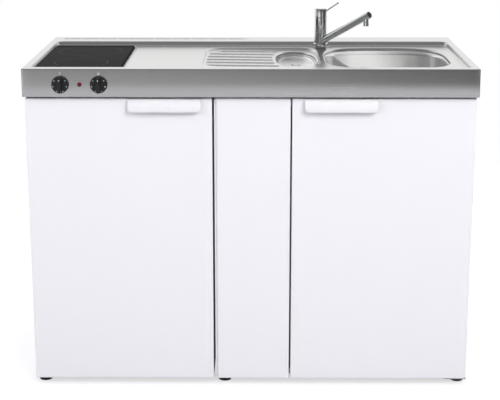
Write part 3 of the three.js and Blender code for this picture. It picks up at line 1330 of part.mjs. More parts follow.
function fridgeDoorLiner() {
  const core = {
    ...inset(fridgeDoor, FRONT_SHEET + FIT), y0: fridgeDoor.y0 + FRONT_EDGE_RADIUS + FIT, y1: fridgeDoor.y1,
  };
  const field = {
    x0: doorField.x0, x1: doorField.x1, y0: fridgeDoor.y1 - 2, y1: doorField.y1,
    z0: cabin.z0 + DOOR_FIELD_MARGIN.bottom, z1: cabin.z1 - DOOR_FIELD_MARGIN.top,
  };
  const ribs = [[doorField.x0, doorField.x0 + DOOR_RIB_WIDTH], [doorField.x1 - DOOR_RIB_WIDTH, doorField.x1]];
  const walls = ribs.map(([a, b]) => {
    const front = doorField.y1 - 8;
    const profile = roundRectangle(front, doorField.y1 + DOOR_RIB_DEPTH, field.z0, DOOR_RIB_TOP, 8);
    return prism(profile, 'x', a, b, 3);
  });
  const pockets = DOOR_TRAYS.flatMap(trayPegs).map((peg) => block(inset(peg, -FIT)));
  return cut(
    join(block(core), block(field), ...walls), ...pockets,
    pinHole(fridgePivot, fridgeDoor.z1, -1), pinHole(fridgePivot, fridgeDoor.z0, 1),
  );
}

/** A tray that hangs between the door's ribs by a peg at each end. */
function doorTray({ lift, height }) {
  const { x0, x1 } = traySpan;
  const y0 = doorField.y1 + FIT;
  const y1 = doorField.y1 + DOOR_RIB_DEPTH;
  const z0 = fridgeDoor.z0 + lift;
  const outer = prism(roundRectangle(x0, x1, y0, y1, 4), 'z', z0, z0 + height, 3);
  const wall = TRAY_WALL;
  const inside = roundRectangle(x0 + wall, x1 - wall, y0 + wall, y1 - wall, 2);
  const pegs = trayPegs({ lift }).map(block);
  return cut(join(outer, ...pegs), prism(inside, 'z', z0 + wall, z0 + height + 1, 3));
}

function doorGasket() {
  const outer = {
    ...inset(fridgeDoor, GASKET_INSET), y0: fridgeDoor.y1 + FIT, y1: fridge.y0 - FIT,
  };
  const inner = {
    x0: outer.x0 + GASKET_WIDTH, x1: outer.x1 - GASKET_WIDTH, y0: outer.y0 - 1, y1: outer.y1 + 1,
    z0: outer.z0 + GASKET_WIDTH, z1: outer.z1 - GASKET_WIDTH,
  };
  return cut(block(outer), block(inner));
}

// ---------------------------------------------------------------- sink cabinet

/** A folded side with flanges turned inwards all round; a rail on the upper one carries the worktop. */
function cabinetSide(outerX, inward) {
  const { y0, y1, z0, z1 } = sinkCabinet;
  const t = CABINET_SHEET;
  const at = (depth) => outerX + inward * depth;
  const section = polygon([
    [at(0), y0], [at(CABINET_FLANGE), y0], [at(CABINET_FLANGE), y0 + t], [at(t), y0 + t],
    [at(t), y1 - t], [at(CABINET_FLANGE), y1 - t], [at(CABINET_FLANGE), y1], [at(0), y1],
  ]);
  const xs = [at(0), at(CABINET_FOOT_FLANGE)].sort((a, b) => a - b);
  const lower = box(xs[0], xs[1], y0, y1, z0, z0 + t);
  const upper = box(xs[0], xs[1], y0 + TOP_RAIL_DEPTH + FIT, y1 - 3 * t, z1 - t, z1);
  return join(prism(section, 'z', z0, z1), lower, upper);
}

function cabinetFloor() {
  const t = CABINET_SHEET;
  const x0 = sinkCabinet.x0 + t + FIT;
  const x1 = sinkCabinet.x1 - t - FIT;
  const y0 = sinkCabinet.y0 + t + FIT;
  const y1 = sinkCabinet.y1 - 2 * t - FIT;
  const section = polygon([
    [y0, CABINET_FLOOR - CABINET_FLOOR_LIP], [y0 + t, CABINET_FLOOR - CABINET_FLOOR_LIP],
    [y0 + t, CABINET_FLOOR], [y1, CABINET_FLOOR],
    [y1, CABINET_FLOOR + t], [y0, CABINET_FLOOR + t],
  ]);
  return prism(section, 'x', x0, x1);
}

function cabinetBack() {
  const t = CABINET_SHEET;
  const y = sinkCabinet.y1 - 2 * t;
  const sheet = box(
    sinkCabinet.x0 + t + FIT, sinkCabinet.x1 - t - FIT, y, y + t, sinkCabinet.z0 + t + FIT, CASE_TOP,
  );
  const { halfWidth, below, above, corner } = PIPEWAY;
  const opening = roundRectangle(
    bowl.x - halfWidth, bowl.x + halfWidth, outletZ - below, outletZ + above, corner,
  );
  return sheet.subtract(prism(opening, 'y', y - 2, y + 4, 4));
}

function topRail() {
  const t = CABINET_SHEET;
  const x0 = sinkCabinet.x0 + CABINET_FLANGE + FIT;
  const x1 = sinkCabinet.x1 - CABINET_FLANGE - FIT;
  const y0 = sinkCabinet.y0;
  const y1 = y0 + TOP_RAIL_DEPTH;
  const low = CASE_TOP - TOP_RAIL_HEIGHT;
  const section = polygon([
    [y0, low], [y1 - 8, low], [y1 - 8, low + t], [y0 + t, low + t], [y0 + t, CASE_TOP - t],
    [y1, CASE_TOP - t], [y1, CASE_TOP], [y0, CASE_TOP],
  ]);
  const lugX = sinkCabinet.x0 - PANEL_LUG.overhang;
  const lug = roundRectangle(
    lugX, lugX + PANEL_LUG.width, y0 - PANEL_LUG.before, y0 + PANEL_LUG.behind, BRACKET_CORNER,
  );
  return prism(section, 'x', x0, x1).add(prism(lug, 'z', CASE_TOP, CASE_TOP + BRACKET_SHEET, 3));
}

function magnetCatch() {
  const x0 = sinkDoor.x0 + CATCH.inset;
  const x1 = x0 + CATCH.width;
  const top = CASE_TOP - TOP_RAIL_HEIGHT - FIT;
  const body = box(x0, x1, sinkDoor.y1 + 3, sinkDoor.y1 + CATCH.depth, top - CATCH.height, top);
  const magnet = box(x0 + 5, x1 - 5, sinkDoor.y1 + FIT, sinkDoor.y1 + 4, top - CATCH.height + 3, top - 3);
  return body.add(magnet);
}

function sinkDoorSkin() {
  return cut(
    pan(sinkDoor),
    pinHole(sinkPivot, sinkDoor.z1, -1), pinHole(sinkPivot, sinkDoor.z0, 1),
  );
}

/** The door's inner sheet, with an upright stiffening swage near each edge. */
function sinkDoorBacking() {
  const inner = inset(sinkDoor, FRONT_SHEET + FIT);
  const y1 = sinkDoor.y1 - FIT;
  const sheet = box(inner.x0, inner.x1, y1 - 1, y1, inner.z0, inner.z1);
  const { crest, foot: base, depth } = SWAGE;
  const outline = [[-base, 0.5], [-crest, depth], [crest, depth], [base, 0.5]];
  const swages = [inner.x0 + SWAGE.inset, inner.x1 - SWAGE.inset].map((x) => {
    const points = outline.map(([dx, dy]) => [x + dx, y1 - dy]);
    return prism(polygon(points), 'z', inner.z0 + SWAGE.inset, inner.z1 - SWAGE.inset);
  });
  return join(sheet, ...swages);
}

// ---------------------------------------------------------------- worktop carriers

/** A channel that stands on a cabinet and carries the worktop, open towards one side. */
function carrier(x, towards, y0, y1, z0, z1) {
  const t = RAIL_SHEET;
  const at = (depth) => x + towards * depth;
  const section = polygon([
    [at(0), z0], [at(RAIL_WIDTH), z0], [at(RAIL_WIDTH), z0 + t], [at(t), z0 + t],
    [at(t), z1 - t], [at(RAIL_WIDTH), z1 - t], [at(RAIL_WIDTH), z1], [at(0), z1],
  ]);
  return prism(section, 'y', y0, y1);
}

function fridgeTopFrame() {
  const middleX = fridge.x1 - MIDDLE_RAIL_INSET;
  const middleEnd = UNIT_DEPTH - REAR_LEDGE - MIDDLE_RAIL_MARGIN;
  const barTop = CASE_TOP + CROSSBAR_HEIGHT;
  const left = carrier(fridge.x0, 1, RAIL_FRONT, RAIL_REAR, CASE_TOP, RIM_UNDERSIDE);
  const middle = carrier(middleX, 1, RAIL_FRONT, middleEnd, CASE_TOP, DECK_UNDERSIDE);
  const tie = box(middleX, middleX + RAIL_SHEET, RAIL_FRONT, RAIL_REAR, CASE_TOP, barTop);
  const rear = box(fridge.x0, middleX + RAIL_SHEET, RAIL_REAR - RAIL_SHEET, RAIL_REAR, CASE_TOP, barTop);
  return join(left, middle, tie, rear);
}

// ---------------------------------------------------------------- assembly

function buildWorktop() {
  const top = group();
  place(top, 'worktop', worktop(), STAINLESS);
  place(top, 'main_bowl', mainBowl(), STAINLESS);
  place(top, 'waste_bowl', wasteBowl(), STAINLESS);
  place(top, 'bowl_drain', bowlDrain(), STAINLESS);
  place(top, 'strainer_basket', strainerBasket(), STAINLESS);
  place(top, 'bottle_trap', bottleTrap(), WHITE_PLASTIC);
  place(top, 'waste_link_pipe', wasteLinkPipe(), WHITE_PLASTIC);
  place(top, 'fridge_top_frame', fridgeTopFrame(), GALVANISED);
  place(
    top, 'worktop_rail_right',
    carrier(RIGHT - CASE_INSET, -1, RAIL_FRONT, RAIL_REAR, CASE_TOP, RIM_UNDERSIDE), GALVANISED,
  );
  return top;
}

function buildHob() {
  const hob = group();
  const zoneX = glass.x0 + ZONE_X;
  place(hob, 'hob_glass', hobGlass(), BLACK_GLASS);
  place(hob, 'hob_tray', hobTray(), GALVANISED);
  const zoneFrontY = glass.y0 + ZONE_FRONT_Y;
  place(hob, 'heater_front', heater(ZONE_FRONT_RADIUS), INSULATOR, [zoneX, zoneFrontY, TRAY_FLOOR]);
  place(hob, 'heater_rear', heater(ZONE_REAR_RADIUS), INSULATOR, [zoneX, glass.y0 + ZONE_REAR_Y, TRAY_FLOOR]);
  ['left', 'right'].forEach((side, i) => {
    place(hob, `regulator_${side}`, regulator(), INSULATOR, [knobs[i], 0, CONTROL_Z]);
    place(hob, `knob_${side}`, controlKnob(), BLACK_PLASTIC, [knobs[i], 0, CONTROL_Z]);
  });
  place(hob, 'pilot_lamp', pilotLamp(), RED_LENS, [lampX, 0, CONTROL_Z]);
  return hob;
}

function buildTap() {
  const whole = group([tap.x, tap.y, DECK]);
  const spoutSide = group([0, 0, 0], SPOUT_AZIMUTH);
  const leverSide = group([0, 0, 0], LEVER_AZIMUTH);
  place(whole, 'tap_base', tapBase(), CHROME);
  place(spoutSide, 'tap_spout', tapSpout(), CHROME);
  place(spoutSide, 'tap_aerator', aerator(), CHROME);
  place(leverSide, 'tap_cartridge_stem', cartridgeStem(), CHROME);
  place(leverSide, 'tap_cap', tapCap(), CHROME);
  place(leverSide, 'tap_lever', tapLever(), CHROME);
  whole.add(spoutSide, leverSide);
  return whole;
}

function buildFridge() {
  const whole = group();
  place(whole, 'fridge_casing', fridgeCasing(), WHITE_ENAMEL);
  place(whole, 'fridge_liner', fridgeLiner(), WHITE_PLASTIC);
  ['shelf_lower', 'shelf_upper'].forEach((name, i) => {
    place(whole, `fridge_${name}`, fridgeShelf(SHELF_HEIGHTS[i]), CLEAR_PLASTIC);
  });
  place(whole, 'freezer_box', freezerBox(), ALUMINIUM);
  place(whole, 'freezer_flap', freezerFlap(), CLEAR_PLASTIC);
  place(whole, 'thermostat_housing', thermostatHousing(), WHITE_PLASTIC);
  place(whole, 'thermostat_knob', thermostatKnob(), GREY_PLASTIC, [thermostat.x, thermostat.y, thermostat.z]);
  const middleX = (fridge.x0 + fridge.x1) / 2;
  place(whole, 'compressor', compressor(), BLACK_STEEL, [
    middleX + COMPRESSOR_OFFSET, fridge.y1 - NICHE_DEPTH / 2, CASE_BASE + CASE_SHEET + FIT,
  ]);
  place(whole, 'condenser_grid', condenser(), BLACK_STEEL);
  const hingeEnd = fridge.x0 + FRIDGE_HINGE_LENGTH;
  place(whole, 'fridge_hinge_top', hingePlate(
    fridgePivot, fridge.x0, hingeEnd, fridge.y0 + FRIDGE_HINGE_REACH.top, CASE_TOP, -1,
  ), GALVANISED);
  place(whole, 'fridge_hinge_bottom', hingePlate(
    fridgePivot, fridge.x0, hingeEnd, fridge.y0 + FRIDGE_HINGE_REACH.bottom, LOWER_PLATE, 1,
  ), GALVANISED);
  const footX = fridge.x0 + FOOT_INSET;
  place(whole, 'fridge_foot_left', foot(LOWER_PLATE), BLACK_PLASTIC, [footX, FOOT_SETBACK, 0]);
  place(whole, 'fridge_foot_right', foot(CASE_BASE), BLACK_PLASTIC, [
    fridge.x1 - FOOT_INSET, fridge.y0 + FOOT_INSET, 0,
  ]);
  return whole;
}

function buildFridgeDoor() {
  const door = group();
  const handleX = fridgeDoor.x1 - FRIDGE_HANDLE_INSET - HANDLE_WIDTH / 2;
  place(door, 'fridge_door_shell', fridgeDoorShell(), WHITE_ENAMEL);
  place(door, 'fridge_door_liner', fridgeDoorLiner(), WHITE_PLASTIC);
  place(door, 'fridge_door_gasket', doorGasket(), RUBBER);
  place(door, 'fridge_door_rack', doorTray(DOOR_TRAYS[0]), CLEAR_PLASTIC);
  place(door, 'fridge_door_shelf', doorTray(DOOR_TRAYS[1]), CLEAR_PLASTIC);
  place(door, 'fridge_handle', handle(), WHITE_PLASTIC, [handleX, FRONT_SETBACK - FIT, FRONT_TOP]);
  return door;
}

function buildSinkCabinet() {
  const cabinet = group();
  place(cabinet, 'cabinet_side_left', cabinetSide(sinkCabinet.x0, 1), WHITE_ENAMEL);
  place(cabinet, 'cabinet_side_right', cabinetSide(sinkCabinet.x1, -1), WHITE_ENAMEL);
  place(cabinet, 'cabinet_floor', cabinetFloor(), WHITE_ENAMEL);
  place(cabinet, 'cabinet_back', cabinetBack(), WHITE_ENAMEL);
  place(cabinet, 'cabinet_front_rail', topRail(), WHITE_ENAMEL);
  place(cabinet, 'front_panel', pan(panel), WHITE_ENAMEL);
  place(cabinet, 'magnet_catch', magnetCatch(), GREY_PLASTIC);
  const hingeEnd = sinkCabinet.x1 - SINK_HINGE_LENGTH;
  place(cabinet, 'sink_hinge_top', hingePlate(
    sinkPivot, hingeEnd, sinkCabinet.x1, sinkCabinet.y0 + SINK_HINGE_REACH.top, CASE_TOP, -1,
  ), GALVANISED);
  place(cabinet, 'sink_hinge_bottom', hingePlate(
    sinkPivot, hingeEnd, sinkCabinet.x1, sinkCabinet.y0 + SINK_HINGE_REACH.bottom, LOWER_PLATE, 1,
  ), GALVANISED);
  const xs = [sinkCabinet.x0 + FOOT_INSET, sinkCabinet.x1 - FOOT_INSET];
  const ys = { front: FOOT_SETBACK, rear: sinkCabinet.y1 - 2 * FOOT_INSET };
  ['left', 'right'].forEach((side, i) => {
    for (const [end, y] of Object.entries(ys)) {
      const underHinge = side === 'right' && end === 'front';
      const shape = foot(underHinge ? LOWER_PLATE : CASE_BASE);
      place(cabinet, `cabinet_foot_${end}_${side}`, shape, BLACK_PLASTIC, [xs[i], y, 0]);
    }
  });
  return cabinet;
}

function buildSinkDoor() {
  const door = group();
  const handleX = sinkDoor.x0 + SINK_HANDLE_INSET + HANDLE_WIDTH / 2;
  place(door, 'sink_door_skin', sinkDoorSkin(), WHITE_ENAMEL);
  place(door, 'sink_door_backing', sinkDoorBacking(), WHITE_ENAMEL);
  place(door, 'sink_handle', handle(), WHITE_PLASTIC, [handleX, FRONT_SETBACK - FIT, FRONT_TOP]);
  return door;
}

// The unit's origin lies on the floor under the middle of its outline, knobs included.
const kitchenette = group([0, -(UNIT_DEPTH - KNOB_PROUD) / 2, 0]);
kitchenette.add(
  buildWorktop(), buildHob(), buildTap(), buildFridge(), buildFridgeDoor(),
  buildSinkCabinet(), buildSinkDoor(),
);

export default kitchenette;
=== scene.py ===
"""Looks of a kitchenette unit with sink and hob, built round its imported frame.

The fields of the classes are sizes in millimetres in the unit's own axes: x runs to the right, y from
the apron's face to the back, z up from the floor. The meshes are made in metres in the frame's axes.
"""

import json
import logging
import math
from dataclasses import dataclass, field
from enum import Enum
from typing import Callable, Iterable, Sequence

import bmesh
import bpy
from mathutils import Matrix, Vector
from mathutils.geometry import delaunay_2d_cdt


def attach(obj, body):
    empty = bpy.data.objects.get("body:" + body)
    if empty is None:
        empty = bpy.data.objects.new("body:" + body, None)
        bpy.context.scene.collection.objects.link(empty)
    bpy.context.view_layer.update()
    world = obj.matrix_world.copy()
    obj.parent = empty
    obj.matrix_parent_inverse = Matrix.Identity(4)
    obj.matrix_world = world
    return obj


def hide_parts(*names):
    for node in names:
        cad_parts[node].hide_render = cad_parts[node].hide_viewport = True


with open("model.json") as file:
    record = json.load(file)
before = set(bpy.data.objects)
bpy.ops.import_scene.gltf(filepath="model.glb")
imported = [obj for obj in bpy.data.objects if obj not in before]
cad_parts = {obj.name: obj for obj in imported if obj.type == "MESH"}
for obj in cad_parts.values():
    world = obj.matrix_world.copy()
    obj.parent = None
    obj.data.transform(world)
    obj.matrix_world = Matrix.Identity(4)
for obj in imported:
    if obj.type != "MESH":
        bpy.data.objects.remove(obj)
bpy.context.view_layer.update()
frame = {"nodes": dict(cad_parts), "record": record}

LOG = logging.getLogger("kitchenette")
MM = 0.001
APRON_FACE = -288.0  # the apron's face along the frame's y, in millimetres
MERGE = 2e-6  # points nearer to each other than this, in metres, become one
SLIVER = 1e-7  # edges shorter than this, in metres, vanish
PRINT_BED = 0.03  # how far a print reaches into its surface, in millimetres
PRINT_RISE = 0.02  # how far a print stands over its surface, in millimetres

Triple = tuple[float, float, float]
Socket = bpy.types.NodeSocket
Piece = bpy.types.Object


# ---------------------------------------------------------------- node trees


class Sketch:
    """A node tree while it is being drawn."""

    def __init__(self, tree: bpy.types.NodeTree) -> None:
        """Takes an empty tree."""
        self.tree = tree

    def add(self, kind: str, inputs: dict | None = None, **settings: object) -> bpy.types.Node:
        """Adds a node and feeds its sockets.

        Args:
            kind: The node's type.
            inputs: Socket name or number to a value, or to the output socket that feeds it.
            settings: The node's own properties.

        Returns:
            The new node.
        """
        node = self.tree.nodes.new(kind)
        for key, value in settings.items():
            setattr(node, key, value)
        for key, value in (inputs or {}).items():
            if isinstance(value, Socket):
                self.tree.links.new(value, node.inputs[key])
            else:
                node.inputs[key].default_value = value
        return node

    def reckon(self, operation: str, first: object, second: object, clamp: bool = False) -> Socket:
        """Adds a Math node with two inputs and returns its output."""
        inputs = {0: first, 1: second}
        return self.add("ShaderNodeMath", inputs, operation=operation, use_clamp=clamp).outputs[0]

    def spread(self, value: object, low: float, high: float, to_low: object, to_high: object) -> Socket:
        """Maps a value from one range to another, clamped, and returns the result."""
        inputs = {"Value": value, "From Min": low, "From Max": high, "To Min": to_low, "To Max": to_high}
        return self.add("ShaderNodeMapRange", inputs).outputs["Result"]


class Effect(Enum):
    """Shader node groups that the finishes share."""

    MOTTLE = "mottle"
    LINES = "brushed_lines"
    WEAR = "edge_wear"
    DUST = "settled_dust"


@dataclass
class Effects:
    """Builds each shared effect once and places it in materials."""

    built: dict[Effect, bpy.types.ShaderNodeTree] = field(default_factory=dict)

    def place(self, sketch: Sketch, effect: Effect, inputs: dict) -> bpy.types.Node:
        """Places an effect in a material.

        Args:
            sketch: The material's tree.
            effect: Which effect.
            inputs: Its socket names and values.

        Returns:
            The group's node.
        """
        if effect not in self.built:
            self.built[effect] = self._build(effect)
        return sketch.add("ShaderNodeGroup", inputs, node_tree=self.built[effect])

    def _build(self, effect: Effect) -> bpy.types.ShaderNodeTree:
        """Builds the tree of one effect.

        Args:
            effect: Which effect.

        Returns:
            Its tree.
        """
        tree = bpy.data.node_groups.new(effect.value, "ShaderNodeTree")
        builders = {
            Effect.MOTTLE: self._mottle,
            Effect.LINES: self._lines,
            Effect.WEAR: self._wear,
            Effect.DUST: self._dust,
        }
        builders[effect](tree)
        return tree

    @staticmethod
    def _sockets(tree: bpy.types.NodeTree, inputs: dict[str, object], outputs: Sequence[str]) -> tuple:
        """Makes a group's sockets.

        Args:
            tree: The group's tree.
            inputs: Socket name to its default: a number, a triple of numbers or a colour of four.
            outputs: Names of the outputs; one called Colour is a colour.

        Returns:
            The group's input node and output node.
        """
        for name, default in inputs.items():
            kind = "NodeSocketFloat"
            if not isinstance(default, (int, float)):
                kind = "NodeSocketVector" if len(default) == 3 else "NodeSocketColor"
            socket = tree.interface.new_socket(name, in_out="INPUT", socket_type=kind)
            socket.default_value = default
        for name in outputs:
            kind = "NodeSocketColor" if name == "Colour" else "NodeSocketFloat"
            tree.interface.new_socket(name, in_out="OUTPUT", socket_type=kind)
        return tree.nodes.new("NodeGroupInput"), tree.nodes.new("NodeGroupOutput")

    def _mottle(self, tree: bpy.types.NodeTree) -> None:
        """Soft cloudy change between two colours.

        Args:
            tree: The group's empty tree.
        """
        defaults = {"Vector": (0.0, 0.0, 0.0), "Scale": 8.0, "Light": (1, 1, 1, 1), "Dark": (0, 0, 0, 1)}
        given, result = self._sockets(tree, defaults, ["Colour", "Mask"])
        sketch = Sketch(tree)
        noise = {"Vector": given.outputs["Vector"], "Scale": given.outputs["Scale"]}
        noise |= {"Detail": 5.0, "Roughness": 0.6}
        cloud = sketch.add("ShaderNodeTexNoise", noise).outputs["Fac"]
        mask = sketch.spread(cloud, 0.3, 0.7, 0.0, 1.0)
        shades = {0: mask, 6: given.outputs["Dark"], 7: given.outputs["Light"]}
        mix = sketch.add("ShaderNodeMix", shades, data_type="RGBA")
        tree.links.new(mix.outputs[2], result.inputs["Colour"])
        tree.links.new(mask, result.inputs["Mask"])

    def _lines(self, tree: bpy.types.NodeTree) -> None:
        """Fine parallel lines left by brushing, as a mask from 0 to 1.

        Args:
            tree: The group's empty tree.
        """
        defaults = {"Vector": (0.0, 0.0, 0.0), "Stretch": (4.0, 900.0, 900.0)}
        given, result = self._sockets(tree, defaults, ["Mask"])
        sketch = Sketch(tree)
        vectors = {0: given.outputs["Vector"], 1: given.outputs["Stretch"]}
        stretched = sketch.add("ShaderNodeVectorMath", vectors, operation="MULTIPLY").outputs[0]
        coarse = {"Vector": stretched, "Scale": 0.25, "Detail": 2.0}
        fine = {"Vector": stretched, "Scale": 1.0, "Detail": 3.0, "Roughness": 0.7}
        noises = [sketch.add("ShaderNodeTexNoise", inputs).outputs["Fac"] for inputs in (coarse, fine)]
        both = sketch.reckon("ADD", noises[0], noises[1])
        tree.links.new(sketch.spread(both, 0.7, 1.3, 0.0, 1.0), result.inputs["Mask"])

    def _wear(self, tree: bpy.types.NodeTree) -> None:
        """Edges rubbed bright or dull, broken up by noise.

        Args:
            tree: The group's empty tree.
        """
        defaults = {"Vector": (0.0, 0.0, 0.0), "Start": 0.57, "End": 0.68, "Scale": 60.0}
        given, result = self._sockets(tree, defaults, ["Mask"])
        sketch = Sketch(tree)
        pointed = sketch.add("ShaderNodeNewGeometry").outputs["Pointiness"]
        inputs = {"Value": pointed, "From Min": given.outputs["Start"], "From Max": given.outputs["End"]}
        edge = sketch.add("ShaderNodeMapRange", inputs).outputs["Result"]
        noise = {"Vector": given.outputs["Vector"], "Scale": given.outputs["Scale"], "Detail": 4.0}
        broken = sketch.add("ShaderNodeTexNoise", noise).outputs["Fac"]
        mask = sketch.reckon("MULTIPLY", edge, sketch.spread(broken, 0.4, 0.62, 0.0, 1.0))
        tree.links.new(mask, result.inputs["Mask"])

    def _dust(self, tree: bpy.types.NodeTree) -> None:
        """Dust on faces that look up.

        Args:
            tree: The group's empty tree.
        """
        defaults = {"Vector": (0.0, 0.0, 0.0), "Amount": 0.2, "Scale": 30.0}
        given, result = self._sockets(tree, defaults, ["Mask"])
        sketch = Sketch(tree)
        normal = sketch.add("ShaderNodeNewGeometry").outputs["Normal"]
        upward = sketch.add("ShaderNodeSeparateXYZ", {0: normal}).outputs["Z"]
        flat = sketch.spread(upward, 0.6, 0.95, 0.0, 1.0)
        noise = {"Vector": given.outputs["Vector"], "Scale": given.outputs["Scale"], "Detail": 6.0}
        patchy = sketch.spread(sketch.add("ShaderNodeTexNoise", noise).outputs["Fac"], 0.35, 0.75, 0.2, 1.0)
        mask = sketch.reckon("MULTIPLY", sketch.reckon("MULTIPLY", flat, patchy), given.outputs["Amount"])
        tree.links.new(mask, result.inputs["Mask"])


EFFECTS = Effects()
LINE_SHARE = 0.65  # how much of a brushed sheet's dullness its lines give
LINE_SHADE = 0.99  # shade of the darkest line
DUST_COLOUR = (0.45, 0.43, 0.4, 1)
COAT_ROUGHNESS = 0.08


# ---------------------------------------------------------------- finishes


@dataclass(frozen=True)
class Finish:
    """A finish of one material slot.

    Attributes:
        name: The material's name.
        slot: The record's material slot.
        light, dark: Colours that the surface varies between, scene-linear.
        cloud: Size of that change, in patches per metre.
        rough: Roughness where the surface is smooth and where it is dull.
        metal: 1 for bare metal.
        ior: Index of refraction.
        coat: Weight of a clear coat.
        stretch: Brushed lines, as lines per metre along x, y and z, or None.
        line_depth: Depth of those lines, in millimetres.
        grain: Surface grain, in grains per metre and depth in millimetres, or None.
        wear: Colour of the rubbed edges, or None.
        dust: Amount of dust on faces that look up.
        clear: Transmission weight.
    """

    name: str
    slot: str
    light: Triple
    dark: Triple
    cloud: float = 9.0
    rough: tuple[float, float] = (0.35, 0.5)
    metal: float = 0.0
    ior: float = 1.5
    coat: float = 0.0
    stretch: Triple | None = None
    line_depth: float = 0.0
    grain: tuple[float, float] | None = None
    wear: Triple | None = None
    dust: float = 0.0
    clear: float = 0.0

    def material(self) -> bpy.types.Material:
        """Returns this finish's material, made when it is first asked for."""
        ready = bpy.data.materials.get(self.name)
        return ready if ready else self._build()

    def _build(self) -> bpy.types.Material:
        """Builds the node material.

        Returns:
            The material.
        """
        material = bpy.data.materials.new(self.name)
        material.use_nodes = True
        material.node_tree.nodes.clear()
        sketch = Sketch(material.node_tree)
        place = sketch.add("ShaderNodeTexCoord").outputs["Object"]
        mottle = {"Vector": place, "Scale": self.cloud, "Light": (*self.light, 1), "Dark": (*self.dark, 1)}
        cloud = EFFECTS.place(sketch, Effect.MOTTLE, mottle)
        colour, dull = cloud.outputs["Colour"], cloud.outputs["Mask"]
        height, depth = None, self.line_depth
        if self.stretch:
            brushed = {"Vector": place, "Stretch": self.stretch}
            height = EFFECTS.place(sketch, Effect.LINES, brushed).outputs["Mask"]
            cloudy = sketch.reckon("MULTIPLY", dull, 1 - LINE_SHARE)
            dull = sketch.reckon("ADD", cloudy, sketch.reckon("MULTIPLY", height, LINE_SHARE))
            tint = {0: 1.0, 6: colour, 7: sketch.spread(height, 0.0, 1.0, LINE_SHADE, 1.0)}
            colour = sketch.add("ShaderNodeMix", tint, data_type="RGBA", blend_type="MULTIPLY").outputs[2]
        if self.wear:
            worn = EFFECTS.place(sketch, Effect.WEAR, {"Vector": place}).outputs["Mask"]
            mix = {0: worn, 6: colour, 7: (*self.wear, 1)}
            colour = sketch.add("ShaderNodeMix", mix, data_type="RGBA").outputs[2]
        if self.dust:
            dusty = EFFECTS.place(sketch, Effect.DUST, {"Vector": place, "Amount": self.dust}).outputs["Mask"]
            mix = {0: dusty, 6: colour, 7: DUST_COLOUR}
            colour = sketch.add("ShaderNodeMix", mix, data_type="RGBA").outputs[2]
            dull = sketch.reckon("ADD", dull, dusty, clamp=True)
        shader = sketch.add("ShaderNodeBsdfPrincipled", {
            "Base Color": colour,
            "Roughness": sketch.spread(dull, 0.0, 1.0, self.rough[0], self.rough[1]),
            "Metallic": self.metal,
            "IOR": self.ior,
            "Coat Weight": self.coat,
            "Coat Roughness": COAT_ROUGHNESS,
            "Transmission Weight": self.clear,
        })
        if self.grain:
            noise = {"Vector": place, "Scale": self.grain[0], "Detail": 3.0}
            height, depth = sketch.add("ShaderNodeTexNoise", noise).outputs["Fac"], self.grain[1]
        if height is not None and depth > 0:
            bump = sketch.add("ShaderNodeBump", {"Height": height, "Strength": 1.0, "Distance": depth * MM})
            sketch.tree.links.new(bump.outputs["Normal"], shader.inputs["Normal"])
        sketch.add("ShaderNodeOutputMaterial", {"Surface": shader.outputs[0]})
        return material


STEEL_DECK = Finish(
    "steel_brushed_along", "stainless", (0.74, 0.74, 0.73), (0.71, 0.71, 0.705), cloud=4.0,
    rough=(0.262, 0.275), metal=1.0, stretch=(5.0, 900.0, 900.0), line_depth=0.0006,
)
STEEL_BOWL = Finish(
    "steel_satin_bowl", "stainless", (0.8, 0.8, 0.79), (0.77, 0.77, 0.765), cloud=5.0, rough=(0.2, 0.23),
    metal=0.9,
)
STEEL_BRIGHT = Finish(
    "steel_polished_fitting", "stainless", (0.7, 0.7, 0.7), (0.6, 0.6, 0.6), cloud=30.0,
    rough=(0.12, 0.2), metal=1.0, grain=(1500.0, 0.002),
)
CHROME = Finish(
    "chrome_bright", "chrome", (0.8, 0.81, 0.82), (0.72, 0.73, 0.75), cloud=40.0, rough=(0.04, 0.09),
    metal=1.0, grain=(260.0, 0.012),
)
GALVANISED = Finish(
    "galvanised_sheet", "galvanised", (0.55, 0.57, 0.59), (0.47, 0.49, 0.51), cloud=70.0,
    rough=(0.35, 0.48), metal=1.0, grain=(420.0, 0.004), dust=0.08,
)
ENAMEL = Finish(
    "lacquer_white_front", "white_enamel", (0.93, 0.93, 0.945), (0.92, 0.92, 0.937), cloud=2.5,
    rough=(0.4, 0.46), grain=(620.0, 0.0012),
)
CARCASS = Finish(
    "lacquer_white_carcass", "white_enamel", (0.86, 0.86, 0.865), (0.835, 0.835, 0.845), cloud=3.0,
    rough=(0.38, 0.48), grain=(520.0, 0.004), dust=0.06,
)
LINER = Finish(
    "plastic_white_moulded", "white_plastic", (0.84, 0.85, 0.85), (0.8, 0.81, 0.815), cloud=6.0,
    rough=(0.3, 0.42), grain=(1300.0, 0.006), dust=0.04,
)
HANDLE = Finish(
    "plastic_white_handle", "handle_plastic", (0.85, 0.85, 0.86), (0.843, 0.843, 0.855), cloud=20.0,
    rough=(0.27, 0.31), coat=0.1, grain=(1800.0, 0.002),
)
CLEAR = Finish(
    "plastic_clear_shelf", "clear_plastic", (0.9, 0.95, 0.95), (0.86, 0.92, 0.93), cloud=10.0,
    rough=(0.04, 0.1), clear=0.9, ior=1.49,
)
BLACK = Finish(
    "plastic_black_control", "black_plastic", (0.02, 0.02, 0.022), (0.012, 0.012, 0.013), cloud=60.0,
    rough=(0.28, 0.42), grain=(1600.0, 0.008), wear=(0.06, 0.06, 0.065),
)
GREY = Finish(
    "plastic_grey_fitting", "grey_plastic", (0.3, 0.31, 0.32), (0.24, 0.25, 0.26), cloud=30.0,
    rough=(0.4, 0.55), grain=(1200.0, 0.01), dust=0.1,
)
RUBBER = Finish(
    "rubber_pale_seal", "rubber", (0.62, 0.63, 0.63), (0.56, 0.57, 0.57), cloud=24.0, rough=(0.6, 0.8),
    grain=(900.0, 0.015),
)
